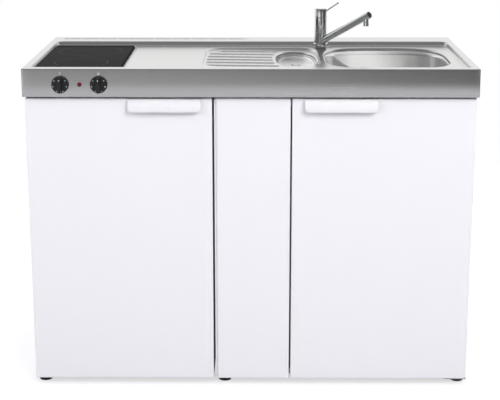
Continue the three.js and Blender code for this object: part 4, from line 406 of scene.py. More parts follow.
GLASS = Finish(
    "ceramic_glass_black", "black_glass", (0.009, 0.009, 0.0105), (0.006, 0.006, 0.007), cloud=16.0,
    rough=(0.1, 0.16), ior=1.015,
)
LENS = Finish(
    "lens_red_pilot", "red_lens", (0.17, 0.006, 0.022), (0.08, 0.003, 0.01), cloud=220.0,
    rough=(0.08, 0.16), coat=0.5, grain=(500.0, 0.05),
)
INSULATOR = Finish(
    "fibre_insulator", "insulator", (0.6, 0.56, 0.48), (0.5, 0.46, 0.39), cloud=90.0, rough=(0.85, 0.95),
    grain=(700.0, 0.12),
)
BLACK_STEEL = Finish(
    "steel_black_painted", "black_steel", (0.02, 0.02, 0.021), (0.012, 0.012, 0.013), cloud=25.0,
    rough=(0.3, 0.5), grain=(500.0, 0.02), wear=(0.09, 0.09, 0.09), dust=0.25,
)
ALUMINIUM = Finish(
    "aluminium_plate", "aluminium", (0.66, 0.68, 0.7), (0.58, 0.6, 0.62), cloud=12.0, rough=(0.3, 0.42),
    metal=1.0, stretch=(500.0, 8.0, 500.0), line_depth=0.004,
)
PRINT = Finish(
    "print_pale_marks", "white_plastic", (0.85, 0.85, 0.84), (0.74, 0.74, 0.74), cloud=300.0,
    rough=(0.4, 0.5),
)
ZONE_PRINT = Finish(
    "print_grey_zone", "black_glass", (0.16, 0.16, 0.17), (0.1, 0.1, 0.105), cloud=300.0,
    rough=(0.35, 0.5),
)
FINISHES = {
    finish.slot: finish
    for finish in (
        STEEL_BRIGHT, GALVANISED, CHROME, CARCASS, LINER, HANDLE, CLEAR, BLACK, GREY, RUBBER, GLASS, LENS,
        INSULATOR, BLACK_STEEL, ALUMINIUM,
    )
}


# ---------------------------------------------------------------- meshes


def oval(
    x: float, y: float, half_x: float, half_y: float, power: float, z: float, steps: int = 96,
) -> list[Vector]:
    """Points of a flat oval ring, counter-clockwise from above.

    Args:
        x, y: Its centre.
        half_x, half_y: Half its width and half its length.
        power: Squareness of the outline; 2 is an ellipse.
        z: Height of the ring.
        steps: Number of points.

    Returns:
        The points, in millimetres.
    """
    points = []
    for k in range(steps):
        angle = 2 * math.pi * (k + 0.5) / steps
        c, s = math.cos(angle), math.sin(angle)
        radius = (abs(c) ** power + abs(s) ** power) ** (-1 / power)
        points.append(Vector((x + half_x * c * radius, y + half_y * s * radius, z)))
    return points


def rounded(
    x0: float, x1: float, y0: float, y1: float, front: float, rear: float, z: float = 0.0,
    arc: int = 10, pace: float = 25.0,
) -> list[Vector]:
    """Points of a rectangle with round corners, counter-clockwise from above.

    Args:
        x0, x1, y0, y1: Its sides.
        front, rear: Radii of the corners at y0 and at y1.
        z: Height of the ring.
        arc: Steps in each corner.
        pace: Longest step along the sides before they are divided; it sets the count, not the place.

    Returns:
        The points, in millimetres.
    """
    corners = [(x0, y0, front, 180), (x1, y0, front, 270), (x1, y1, rear, 0), (x0, y1, rear, 90)]
    signs = [(1, 1), (-1, 1), (-1, -1), (1, -1)]
    arcs = []
    for (x, y, radius, start), (sx, sy) in zip(corners, signs):
        cx, cy = x + sx * radius, y + sy * radius
        angles = [math.radians(start + 90 * k / arc) for k in range(arc + 1)]
        arcs.append([Vector((cx + radius * math.cos(a), cy + radius * math.sin(a), z)) for a in angles])
    counts = [max(1, round((x1 - x0) / pace)), max(1, round((y1 - y0) / pace))] * 2
    points = []
    for i, points_of_arc in enumerate(arcs):
        points.extend(points_of_arc)
        begin, end = points_of_arc[-1], arcs[(i + 1) % 4][0]
        points.extend(begin.lerp(end, k / counts[i]) for k in range(1, counts[i]))
    return points


class Draft:
    """The vertices and faces of one piece while it is drawn, in millimetres."""

    def __init__(self) -> None:
        """Starts with nothing drawn."""
        self.points: list[Vector] = []
        self.faces: list[tuple[int, ...]] = []

    def ring(self, points: Iterable[Vector]) -> list[int]:
        """Adds points.

        Args:
            points: The points.

        Returns:
            Their numbers.
        """
        start = len(self.points)
        self.points.extend(Vector(p) for p in points)
        return list(range(start, len(self.points)))

    def bridge(self, lower: Sequence[int], upper: Sequence[int], closed: bool = True) -> None:
        """Joins two rows of as many points with quads.

        Args:
            lower, upper: The numbers of the rows' points.
            closed: Whether the rows' ends are joined too.
        """
        count = len(lower)
        for i in range(count if closed else count - 1):
            j = (i + 1) % count
            self.faces.append((lower[i], lower[j], upper[j], upper[i]))

    def loft(self, rings: Sequence[Iterable[Vector]], bottom: bool = True, top: bool = True) -> None:
        """Skins a stack of rings.

        Args:
            rings: Rings of points, each with as many points.
            bottom: Whether the first ring is closed by a face.
            top: Whether the last ring is closed by a face.
        """
        rows = [self.ring(ring) for ring in rings]
        for lower, upper in zip(rows, rows[1:]):
            self.bridge(lower, upper)
        if bottom:
            self.faces.append(tuple(reversed(rows[0])))
        if top:
            self.faces.append(tuple(rows[-1]))

    def turn(
        self, profile: Sequence[tuple[float, float]], place: Matrix | None = None, steps: int = 64,
    ) -> None:
        """Revolves a profile about z.

        Args:
            profile: Radius and height of its points; radius 0 at an end closes it.
            place: Where the turned shape goes.
            steps: Steps round the axis.
        """
        rows = []
        for radius, height in profile:
            angles = (2 * math.pi * k / steps for k in range(steps))
            ring = [Vector((radius * math.cos(a), radius * math.sin(a), height)) for a in angles]
            rows.append(self.ring(place @ p if place else p for p in ring))
        for lower, upper in zip(rows, rows[1:]):
            self.bridge(lower, upper)

    def block(self, low: Sequence[float], high: Sequence[float]) -> None:
        """Adds a box between two corners."""
        corners = [(low[0], low[1]), (high[0], low[1]), (high[0], high[1]), (low[0], high[1])]
        self.loft([[Vector((x, y, z)) for x, y in corners] for z in (low[2], high[2])])

    def finish(
        self, name: str, finish: Finish, sharp: float = 35.0, look: Vector | None = None,
    ) -> Piece:
        """Makes the piece's object.

        Args:
            name: The piece's name.
            finish: Its finish.
            sharp: Edges that bend more than this many degrees stay sharp.
            look: For an open sheet, the way that its outer side looks.

        Returns:
            The object, with its place in its mesh.
        """
        mesh = bpy.data.meshes.new(name)
        shape = bmesh.new()
        made = [shape.verts.new((p.x * MM, (p.y + APRON_FACE) * MM, p.z * MM)) for p in self.points]
        for face in self.faces:
            if len(set(face)) > 2:
                try:
                    shape.faces.new([made[i] for i in face])
                except ValueError:
                    LOG.debug("%s: a face is drawn twice", name)
        bmesh.ops.remove_doubles(shape, verts=shape.verts, dist=MERGE)
        bmesh.ops.dissolve_degenerate(shape, edges=shape.edges, dist=SLIVER)
        bmesh.ops.recalc_face_normals(shape, faces=shape.faces)
        if look and sum(f.normal.dot(look) * f.calc_area() for f in shape.faces) < 0:
            bmesh.ops.reverse_faces(shape, faces=shape.faces)
        shape.to_mesh(mesh)
        shape.free()
        return new_object(name, mesh, finish, sharp)


def new_object(name: str, mesh: bpy.types.Mesh, finish: Finish, sharp: float) -> Piece:
    """Makes an object of a mesh, with one finish.

    Args:
        name: The object's name.
        mesh: Its mesh, in place.
        finish: Its finish.
        sharp: It is shaded smooth up to this angle, in degrees.

    Returns:
        The object, linked to the scene.
    """
    mesh.materials.clear()
    mesh.materials.append(finish.material())
    mesh.shade_smooth()
    mesh.set_sharp_from_angle(angle=math.radians(sharp))
    piece = bpy.data.objects.new(name, mesh)
    bpy.context.scene.collection.objects.link(piece)
    return piece


STOOD_FOR: set[str] = set()


def settle(piece: Piece, body: str, slot: str, *nodes: str) -> None:
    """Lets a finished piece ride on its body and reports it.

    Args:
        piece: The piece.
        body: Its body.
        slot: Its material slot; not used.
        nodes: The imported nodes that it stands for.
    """
    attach(piece, body)
    if nodes:
        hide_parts(*nodes)
        STOOD_FOR.update(nodes)
    LOG.info("%s: %d faces, on %s", piece.name, len(piece.data.polygons), body)


def thicken(piece: Piece, thickness: float) -> Piece:
    """Gives a sheet its thickness below its outer side.

    Args:
        piece: The sheet.
        thickness: In millimetres.

    Returns:
        The same piece.
    """
    modifier = piece.modifiers.new("sheet", "SOLIDIFY")
    modifier.thickness = thickness * MM
    modifier.offset = -1.0
    modifier.use_even_offset = False
    return piece


def soften(piece: Piece, width: float) -> Piece:
    """Rounds a piece's sharp edges.

    Args:
        piece: The piece.
        width: Width of the round, in millimetres.

    Returns:
        The same piece.
    """
    modifier = piece.modifiers.new("edges", "BEVEL")
    modifier.width = width * MM
    modifier.segments = 2
    modifier.limit_method = "ANGLE"
    modifier.angle_limit = math.radians(40)
    modifier.harden_normals = False
    return piece


def carve(piece: Piece, cutter: Piece, sharp: float) -> Piece:
    """Joins a piece's shells and cuts another shape out of them.

    Args:
        piece: The piece.
        cutter: The shape that is cut out; it is removed.
        sharp: The result is shaded smooth up to this angle, in degrees.

    Returns:
        The same piece, with a plain mesh.
    """
    modifier = piece.modifiers.new("cut", "BOOLEAN")
    modifier.operation = "DIFFERENCE"
    modifier.solver = "EXACT"
    modifier.use_self = True
    modifier.object = cutter
    depsgraph = bpy.context.evaluated_depsgraph_get()
    mesh = bpy.data.meshes.new_from_object(piece.evaluated_get(depsgraph))
    piece.modifiers.remove(modifier)
    old = piece.data
    piece.data = mesh
    bpy.data.meshes.remove(old)
    mesh.name = piece.name
    bpy.data.objects.remove(cutter)
    mesh.shade_smooth()
    mesh.set_sharp_from_angle(angle=math.radians(sharp))
    return piece


def smooth_step(value: float) -> float:
    """A share from 0 to 1 with soft ends."""
    value = min(max(value, 0.0), 1.0)
    return value * value * (3 - 2 * value)


# ---------------------------------------------------------------- repeated details


class Pattern(Enum):
    """Ways in which a small shape is repeated."""

    ROW = "row"
    ARC = "arc"
    PATH = "path"


class Repeats:
    """Geometry node trees that repeat a small shape along a row or an arc, or sweep a rod along a path."""

    def __init__(self) -> None:
        """Starts with no tree built."""
        self.trees: dict[Pattern, bpy.types.GeometryNodeTree] = {}

    def _tree(self, pattern: Pattern) -> bpy.types.GeometryNodeTree:
        """Finds a pattern's tree, and builds it when it is first asked for.

        Args:
            pattern: Which pattern.

        Returns:
            Its tree.
        """
        if pattern not in self.trees:
            build = {Pattern.ROW: self._row, Pattern.ARC: self._arc, Pattern.PATH: self._path}[pattern]
            self.trees[pattern] = build()
        return self.trees[pattern]

    @staticmethod
    def _start(name: str, inputs: dict[str, str]) -> tuple[Sketch, bpy.types.Node]:
        """Makes a tree with named inputs.

        Args:
            name: The tree's name.
            inputs: Input name to the kind of its socket.

        Returns:
            The tree's sketch and its input node.
        """
        tree = bpy.data.node_groups.new(name, "GeometryNodeTree")
        tree.interface.new_socket("Geometry", in_out="OUTPUT", socket_type="NodeSocketGeometry")
        tree.interface.new_socket("Geometry", in_out="INPUT", socket_type="NodeSocketGeometry")
        for key, kind in inputs.items():
            tree.interface.new_socket(key, in_out="INPUT", socket_type=kind)
        return Sketch(tree), tree.nodes.new("NodeGroupInput")

    @staticmethod
    def _end(sketch: Sketch, given: bpy.types.Node, shapes: Socket) -> bpy.types.GeometryNodeTree:
        """Realizes the shapes, gives them their material and closes the tree.

        Args:
            sketch: The tree's sketch.
            given: Its input node.
            shapes: The output socket with the shapes.

        Returns:
            The tree.
        """
        real = sketch.add("GeometryNodeRealizeInstances", {0: shapes}).outputs[0]
        inputs = {"Geometry": real, "Material": given.outputs["Material"]}
        dressed = sketch.add("GeometryNodeSetMaterial", inputs).outputs[0]
        sketch.add("NodeGroupOutput", {0: dressed})
        return sketch.tree

    def _row(self) -> bpy.types.GeometryNodeTree:
        """A row of copies of a shape with a fixed step.

        Returns:
            The tree.
        """
        kinds = {
            "Count": "NodeSocketInt", "Start": "NodeSocketVector", "Step": "NodeSocketVector",
            "Shape": "NodeSocketObject", "Material": "NodeSocketMaterial",
        }
        sketch, given = self._start("shapes_in_a_row", kinds)
        line = {"Count": given.outputs["Count"], "Start Location": given.outputs["Start"],
                "Offset": given.outputs["Step"]}
        points = sketch.add("GeometryNodeMeshLine", line, mode="OFFSET").outputs[0]
        shape = sketch.add("GeometryNodeObjectInfo", {"Object": given.outputs["Shape"]}).outputs["Geometry"]
        copies = sketch.add("GeometryNodeInstanceOnPoints", {"Points": points, "Instance": shape}).outputs[0]
        return self._end(sketch, given, copies)

    def _arc(self) -> bpy.types.GeometryNodeTree:
        """Copies of a shape turned about an axis through a centre, by a fixed angle from one to the next.

        Returns:
            The tree.
        """
        kinds = {
            "Count": "NodeSocketInt", "Centre": "NodeSocketVector", "Axis": "NodeSocketVector",
            "First": "NodeSocketFloat", "Step": "NodeSocketFloat", "Shape": "NodeSocketObject",
            "Material": "NodeSocketMaterial",
        }
        sketch, given = self._start("shapes_round_an_axis", kinds)
        line = {"Count": given.outputs["Count"], "Offset": (0.0, 0.0, 0.0)}
        gathered = sketch.add("GeometryNodeMeshLine", line, mode="OFFSET").outputs[0]
        number = sketch.add("GeometryNodeInputIndex").outputs[0]
        turned = sketch.reckon("MULTIPLY", number, given.outputs["Step"])
        angle = sketch.reckon("ADD", turned, given.outputs["First"])
        rotation = sketch.add(
            "FunctionNodeAxisAngleToRotation", {"Axis": given.outputs["Axis"], "Angle": angle}).outputs[0]
        shape = sketch.add("GeometryNodeObjectInfo", {"Object": given.outputs["Shape"]}).outputs["Geometry"]
        inputs = {"Points": gathered, "Instance": shape, "Rotation": rotation}
        copies = sketch.add("GeometryNodeInstanceOnPoints", inputs).outputs[0]
        moved = sketch.add(
            "GeometryNodeTranslateInstances",
            {"Instances": copies, "Translation": given.outputs["Centre"], "Local Space": False}).outputs[0]
        return self._end(sketch, given, moved)

    def _path(self) -> bpy.types.GeometryNodeTree:
        """A round rod swept along the edges of the carrier's mesh.

        Returns:
            The tree.
        """
        kinds = {"Radius": "NodeSocketFloat", "Sides": "NodeSocketInt", "Material": "NodeSocketMaterial"}
        sketch, given = self._start("rod_along_a_path", kinds)
        curve = sketch.add("GeometryNodeMeshToCurve", {0: given.outputs["Geometry"]}).outputs[0]
        circle = {"Resolution": given.outputs["Sides"], "Radius": given.outputs["Radius"]}
        profile = sketch.add("GeometryNodeCurvePrimitiveCircle", circle).outputs[0]
        inputs = {"Curve": curve, "Profile Curve": profile, "Fill Caps": True}
        rod = sketch.add("GeometryNodeCurveToMesh", inputs).outputs[0]
        return self._end(sketch, given, rod)

    def make(self, pattern: Pattern, name: str, finish: Finish, values: dict[str, object],
             shape: Draft | None = None, path: Sequence[Sequence[Vector]] = ()) -> Piece:
        """Makes a piece with one of the trees.

        Args:
            pattern: Which tree.
            name: The piece's name.
            finish: Its finish.
            values: The tree's inputs by name, in metres and radians.
            shape: The small shape that is repeated, drawn where the first one lies.
            path: Lines of points, in millimetres, that a rod follows.

        Returns:
            The piece as a plain mesh, with no modifier left.
        """
        carrier_mesh = bpy.data.meshes.new(name)
        points, edges = [], []
        for line in path:
            start = len(points)
            points.extend(Vector((p.x, p.y + APRON_FACE, p.z)) * MM for p in line)
            edges.extend((i, i + 1) for i in range(start, len(points) - 1))
        carrier_mesh.from_pydata(points, edges, [])
        carrier = bpy.data.objects.new(name + "_carrier", carrier_mesh)
        bpy.context.scene.collection.objects.link(carrier)
        given = dict(values)
        given["Material"] = finish.material()
        small = None
        if shape:
            small = shape.finish(name + "_shape", finish)
            given["Shape"] = small
        tree = self._tree(pattern)
        modifier = carrier.modifiers.new("pattern", "NODES")
        modifier.node_group = tree
        for item in tree.interface.items_tree:
            if item.item_type == "SOCKET" and item.in_out == "INPUT" and item.name in given:
                modifier[item.identifier] = given[item.name]
        depsgraph = bpy.context.evaluated_depsgraph_get()
        mesh = bpy.data.meshes.new_from_object(carrier.evaluated_get(depsgraph))
        mesh.name = name
        carrier.modifiers.remove(modifier)
        bpy.data.objects.remove(carrier)
        if small:
            bpy.data.objects.remove(small)
        return new_object(name, mesh, finish, sharp=40.0)


REPEATS = Repeats()


def at(x: float, y: float, z: float) -> Triple:
    """A point of the unit's own axes, in metres in the frame's axes."""
    return (x * MM, (y + APRON_FACE) * MM, z * MM)


# ---------------------------------------------------------------- worktop and bowls


@dataclass
class Oval:
    """Plan of a bowl: its centre, half its sizes, its outline's squareness and its weld line's height."""

    x: float
    y: float
    half_x: float
    half_y: float
    power: float
    seam: float

    def ring(self, grow: float, z: float) -> list[Vector]:
        """The outline grown outwards, at a height."""
        return oval(self.x, self.y, self.half_x + grow, self.half_y + grow, self.power, z)

    def holds(self, x: float, y: float, grow: float) -> bool:
        """Whether a point is inside the outline grown outwards."""
        u, v = abs(x - self.x) / (self.half_x + grow), abs(y - self.y) / (self.half_y + grow)
        return u ** self.power + v ** self.power < 1

    def half_width_at(self, y: float) -> float:
        """Half the outline's width at a place along y."""
        share = min(abs(y - self.y) / self.half_y, 1.0)
        return self.half_x * (1 - share ** self.power) ** (1 / self.power)


@dataclass
class Region:
    """A rectangle with round corners, seen from above."""

    x0: float
    x1: float
    y0: float
    y1: float
    front: float
    rear: float

    def ring(self, grow: float, z: float = 0.0, arc: int = 10) -> list[Vector]:
        """The outline grown outwards.

        Args:
            grow: By how much.
            z: Height of the ring.
            arc: Steps in each corner.

        Returns:
            Its points.
        """
        return rounded(
            self.x0 - grow, self.x1 + grow, self.y0 - grow, self.y1 + grow,
            max(self.front + grow, 0.2), max(self.rear + grow, 0.2), z, arc,
        )

    def distance(self, x: float, y: float) -> float:
        """Measures how far a point is from the outline.

        Args:
            x, y: The point.

        Returns:
            The distance, negative inside the outline.
        """
        cx, cy = (self.x0 + self.x1) / 2, (self.y0 + self.y1) / 2
        radius = self.front if y < cy else self.rear
        qx = abs(x - cx) - (self.x1 - self.x0) / 2 + radius
        qy = abs(y - cy) - (self.y1 - self.y0) / 2 + radius
        return min(max(qx, qy), 0.0) + math.hypot(max(qx, 0.0), max(qy, 0.0)) - radius


MAIN_OVAL = Oval(379, 278, 171.5, 185, 3.35, seam=868.0)
WASTE_OVAL = Oval(126, 292, 55, 142, 2.5, seam=862.0)


def lay_sheet(
    draft: Draft, loops: Iterable[Sequence[Vector]], loose: Iterable[Vector],
    height: Callable[[float, float], float], is_hole: Callable[[float, float], bool],
) -> None:
    """Draws a sheet with edges along closed lines.

    Args:
        draft: The draft that the sheet goes into.
        loops: The closed lines.
        loose: More points of the sheet.
        height: Height of the sheet at a place.
        is_hole: Whether a place is cut out.
    """
    flat: list[Vector] = []
    edges: list[tuple[int, int]] = []
    for loop in loops:
        start = len(flat)
        flat.extend(Vector((p.x, p.y)) for p in loop)
        edges.extend((start + i, start + (i + 1) % len(loop)) for i in range(len(loop)))
    flat.extend(loose)
    points, _, faces, *_ = delaunay_2d_cdt(flat, edges, [], 0, 1e-5, False)
    numbers = draft.ring(Vector((p.x, p.y, height(p.x, p.y))) for p in points)
    for face in faces:
        middle = sum((points[i] for i in face), Vector((0.0, 0.0))) / len(face)
        if not is_hole(middle.x, middle.y):
            draft.faces.append(tuple(numbers[i] for i in face))


@dataclass
class Worktop:
    """The pressed worktop: rim and apron, sunken deck, drainer with its ribs, bowl mouths and vents.

    Attributes:
        grid: Pitch of the sheet's points where it is flat.
        well, drainer: Outlines of the sunken deck and of the drainer.
        well_run, drainer_run: Width of the slope inside each outline.
        well_lead, drainer_lead: How far outside it the slope starts.
        well_folds, drainer_folds, rib_folds, lip_folds: Offsets at which the sheet has rows of edges.
        drainer_depth: Depth of the drainer's floor at its left and right ends.
        rib_rows, vents: Place of the first one, pitch and count.
        rib_rear_arc: Radius of the line on which the rear ribs start.
        rib_gap: Distance from the ribs' right ends to the waste bowl.
        rib_share: The least share of that bowl's width that the ribs keep clear.
        lip: Radius of the rolled mouths.
        apron: Height of its lower edge, and how far that turns in at the front and aside.
        hem: Offset and height over that edge of each row of its round.
        vent_size: Length, width and corner radius.
        collar, collar_depth: Offsets of the two sides of the vents' black collars, and depths of their ends;
            the collars are painted shade in the slots.
    """

    width: float = 1200.0
    depth: float = 600.0
    rim: float = 890.0
    deck: float = 878.0
    sheet: float = 1.0
    grid: float = 30.0
    well: Region = field(default_factory=lambda: Region(-582.5, 582.5, 30, 508, 13, 28))
    well_run: float = 5.6
    well_lead: float = 0.4
    well_folds: tuple[float, ...] = (
        2.4, 0.9, 0.3, -0.4, -1.1, -1.8, -2.5, -3.2, -4.0, -4.8, -5.5, -6.1, -7.6,
    )
    drainer: Region = field(default_factory=lambda: Region(-133, 191, 111, 465, 70, 70))
    drainer_depth: tuple[float, float] = (4.0, 8.0)
    drainer_run: float = 4.0
    drainer_lead: float = 0.5
    drainer_folds: tuple[float, ...] = (2.0, 0.4, -0.8, -2.0, -3.2, -4.4, -5.6, -6.6, -8.5)
    rib_rows: tuple[float, float, int] = (162.5, 51.0, 6)
    rib_inset: float = 13.0
    rib_rear_arc: float = 115.0
    rib_gap: float = 15.0
    rib_share: float = 0.7
    rib_half: float = 7.0
    rib_crest: float = 2.5
    rib_height: float = 2.6
    rib_folds: tuple[float, ...] = (1.2, 2.4, 3.4, 4.4, 5.4, 6.4, 7.2, 8.8)
    lip: float = 6.0
    lip_folds: tuple[float, ...] = (0.0, 1.2, 3.0)
    apron: tuple[float, float, float] = (815.0, 12.0, 3.0)
    hem: tuple[tuple[float, float], ...] = ((0.0, 1.4), (-0.5, 0.4), (-1.4, 0.0))
    rear_lip: float = 860.0
    plan_radius: float = 5.0
    edge_radius: float = 3.0
    hob_hole: Region = field(default_factory=lambda: Region(-571, -352, 71, 472, 5, 5))
    tap_hole: tuple[float, float, float] = (204.0, 474.0, 17.5)
    vents: tuple[float, float, int] = (-566.0, 55.0, 10)
    vent_size: tuple[float, float, float] = (48.0, 4.0, 1.95)
    vent_y: float = 559.0
    collar: tuple[float, float] = (-0.05, -0.55)
    collar_depth: tuple[float, float] = (0.1, 3.0)

    def rib_line(self, y: float) -> tuple[float, float]:
        """Finds the crest of the rib at a place along y.

        Args:
            y: The rib's place.

        Returns:
            The x of its left end and of its right end.
        """
        edge = self.drainer.x0 + self.rib_inset
        front, rear = self.drainer.front - self.rib_inset, self.rib_rear_arc
        front_centre = self.drainer.y0 + self.drainer.front
        rear_centre = self.drainer.y1 - self.rib_inset - rear
        start = edge
        if y < front_centre:
            start = edge + front - math.sqrt(front ** 2 - (front_centre - y) ** 2)
        elif y > rear_centre:
            start = edge + rear - math.sqrt(rear ** 2 - (y - rear_centre) ** 2)
        half = max(WASTE_OVAL.half_width_at(y), WASTE_OVAL.half_x * self.rib_share)
        return start, WASTE_OVAL.x - half - self.rib_gap

    def ribs(self) -> list[tuple[float, float, float]]:
        """Left end, right end and y of each rib."""
        first, pitch, count = self.rib_rows
        return [(*self.rib_line(first + i * pitch), first + i * pitch) for i in range(count)]

    def height(self, x: float, y: float) -> float:
        """Finds the height of the upper side.

        Args:
            x, y: The place.

        Returns:
            The height.
        """
        lead, run = self.well_lead, self.well_run + 2 * self.well_lead
        z = self.rim - (self.rim - self.deck) * smooth_step((lead - self.well.distance(x, y)) / run)
        into, lead = self.drainer.distance(x, y), self.drainer_lead
        if into < lead:
            share = min(max((x - self.drainer.x0) / (self.drainer.x1 - self.drainer.x0), 0.0), 1.0)
            floor = self.drainer_depth[0] + share * (self.drainer_depth[1] - self.drainer_depth[0])
            z -= floor * smooth_step((lead - into) / (self.drainer_run + lead))
            for x0, x1, row in self.ribs():
                away = math.hypot(x - min(max(x, x0), x1), y - row)
                z += self.rib_height * smooth_step((self.rib_half - away) / (self.rib_half - self.rib_crest))
        return z

    @staticmethod
    def _capsule(x0: float, x1: float, y: float, radius: float) -> list[Vector]:
        """Draws the outline at a distance from a rib's crest line.

        Args:
            x0, x1: Left and right end of the line.
            y: Its place.
            radius: The distance.

        Returns:
            The outline's points.
        """
        arc, pace = 12, 18
        steps = max(2, round((x1 - x0) / pace))
        points = []
        for x, other, start, side in ((x1, x0, -90, radius), (x0, x1, 90, -radius)):
            angles = [math.radians(start + 180 * k / arc) for k in range(arc + 1)]
            points.extend(Vector((x + radius * math.cos(a), y + radius * math.sin(a), 0)) for a in angles)
            points.extend(Vector((x + (other - x) * k / steps, y + side, 0)) for k in range(1, steps))
        return points

    def _slots(self) -> list[Region]:
        """Places the vent slots in the rear ledge.

        Returns:
            Their outlines.
        """
        first, pitch, count = self.vents
        length, width, corner = self.vent_size
        y0, y1 = self.vent_y - width / 2, self.vent_y + width / 2
        starts = [first + i * pitch for i in range(count)]
        return [Region(x0, x0 + length, y0, y1, corner, corner) for x0 in starts]

    def _loops(self) -> list[list[Vector]]:
        """Gathers the closed lines that the sheet's edges follow: its holes, and rows along each fold.

        Returns:
            The lines.
        """
        loops = [self._edge_ring(-self.edge_radius - inset, self.rim) for inset in (0, 2)]
        loops += [self.well.ring(grow) for grow in self.well_folds]
        loops += [self.drainer.ring(grow, arc=18) for grow in self.drainer_folds]
        for x0, x1, y in self.ribs():
            loops += [self._capsule(x0, x1, y, radius) for radius in self.rib_folds]
        for plan in (MAIN_OVAL, WASTE_OVAL):
            loops += [plan.ring(self.lip + grow, 0) for grow in self.lip_folds]
        loops += [slot.ring(0, arc=5) for slot in self._slots()]
        loops.append(self.hob_hole.ring(0))
        x, y, radius = self.tap_hole
        loops.append(oval(x, y, radius, radius, 2, 0, 32))
        return loops

    def _edge_ring(self, grow: float, z: float) -> list[Vector]:
        """The worktop's outline grown outwards, always with as many points."""
        half, radius = self.width / 2, max(self.plan_radius + grow, 0.4)
        return rounded(-half - grow, half + grow, -grow, self.depth + grow, radius, radius, z, 6, 25.0)

    def _is_hole(self, x: float, y: float) -> bool:
        """Tells whether a place on the deck is cut out.

        Args:
            x, y: The place.

        Returns:
            True in a hole.
        """
        if self.hob_hole.distance(x, y) < 0 or any(slot.distance(x, y) < 0 for slot in self._slots()):
            return True
        tx, ty, radius = self.tap_hole
        if math.hypot(x - tx, y - ty) < radius:
            return True
        return MAIN_OVAL.holds(x, y, self.lip) or WASTE_OVAL.holds(x, y, self.lip)

    def _top(self, draft: Draft) -> None:
        """Draws the upper skin between the edge and the holes.

        Args:
            draft: The worktop's draft.
        """
        half, edge, shift = self.width / 2, self.edge_radius, 1.0
        side, rear = half - edge, self.depth - edge
        loops = []
        for loop in self._loops():
            loops.append([Vector((min(max(p.x, -side), side), min(max(p.y, edge), rear))) for p in loop])
        columns, rows = (range(1, round(size / self.grid)) for size in (self.width, self.depth))
        loose = [Vector((-half + i * self.grid, j * self.grid + shift)) for i in columns for j in rows]
        lay_sheet(draft, loops, loose, self.height, self._is_hole)

    def _mouth(self, draft: Draft, plan: Oval) -> None:
        """Draws a bowl's lip, rolled over from the deck down to the weld line.

        Args:
            draft: The worktop's draft.
            plan: The bowl's plan.
        """
        tops = [self.height(p.x, p.y) for p in plan.ring(self.lip, 0)]
        rings = []
        for k in range(9):
            angle = math.pi / 2 * k / 8
            ring = plan.ring(self.lip * (1 - math.sin(angle)), 0)
            drop = self.lip * (1 - math.cos(angle))
            rings.append([Vector((p.x, p.y, top - drop)) for p, top in zip(ring, tops)])
        rings.append(plan.ring(0, plan.seam))
        draft.loft(rings, bottom=False, top=False)

    def _apron(self, draft: Draft) -> None:
        """Draws the fold at the rim, the apron and its edge turned inwards.

        Args:
            draft: The worktop's draft.
        """
        bottom, inward, aside = self.apron
        radius, half = self.edge_radius, self.width / 2
        rings = []
        for k in range(7):
            angle = math.pi / 2 * k / 6
            fall = radius * (1 - math.cos(angle))
            rings.append(self._edge_ring(radius * (math.sin(angle) - 1), self.rim - fall))
        rings.append(self._edge_ring(0, self.rear_lip))
        rings += [self._edge_ring(grow, bottom + rise) for grow, rise in self.hem]
        turned = []
        for p in rings[-1]:
            x = max(min(p.x, half - aside), aside - half)
            turned.append(Vector((x, max(min(p.y, self.depth - inward), inward), bottom)))
        rings.append(turned)
        rows = [draft.ring(ring) for ring in rings]
        for lower, upper in zip(rows, rows[1:]):
            for i in range(len(lower)):
                j = (i + 1) % len(lower)
                corners = (lower[i], lower[j], upper[j], upper[i])
                points = [draft.points[c] for c in corners]
                cut_away = all(p.y > self.depth - inward - 1 and p.z < self.rear_lip + 0.01 for p in points)
                if not cut_away:
                    draft.faces.append(corners)

    def _vent_painted_shade_collars(self) -> Piece:
        """Makes the dark collars that line the vent slots: painted shade that darkens the slots.

        Returns:
            The piece.
        """
        draft, slot = Draft(), self._slots()[0]
        high, low = (self.rim - depth for depth in self.collar_depth)
        out, inside = self.collar
        section = ((out, high), (out, low), (inside, low), (inside, high), (out, high))
        draft.loft([slot.ring(grow, z, arc=5) for grow, z in section], bottom=False, top=False)
        values = {"Count": self.vents[2], "Start": (0.0, 0.0, 0.0), "Step": (self.vents[1] * MM, 0.0, 0.0)}
        return REPEATS.make(Pattern.ROW, "vent_collars", BLACK_STEEL, values, shape=draft)

    def build(self) -> None:
        """Builds the worktop's sheet and the vents' dark collars, painted shade in the slots."""
        draft = Draft()
        self._top(draft)
        for plan in (MAIN_OVAL, WASTE_OVAL):
            self._mouth(draft, plan)
        self._apron(draft)
        piece = draft.finish("worktop_sheet", STEEL_DECK, sharp=50, look=Vector((0, 0, 1)))
        settle(thicken(piece, self.sheet), "unit", "stainless", "worktop")
        settle(self._vent_painted_shade_collars(), "unit", "black_steel")


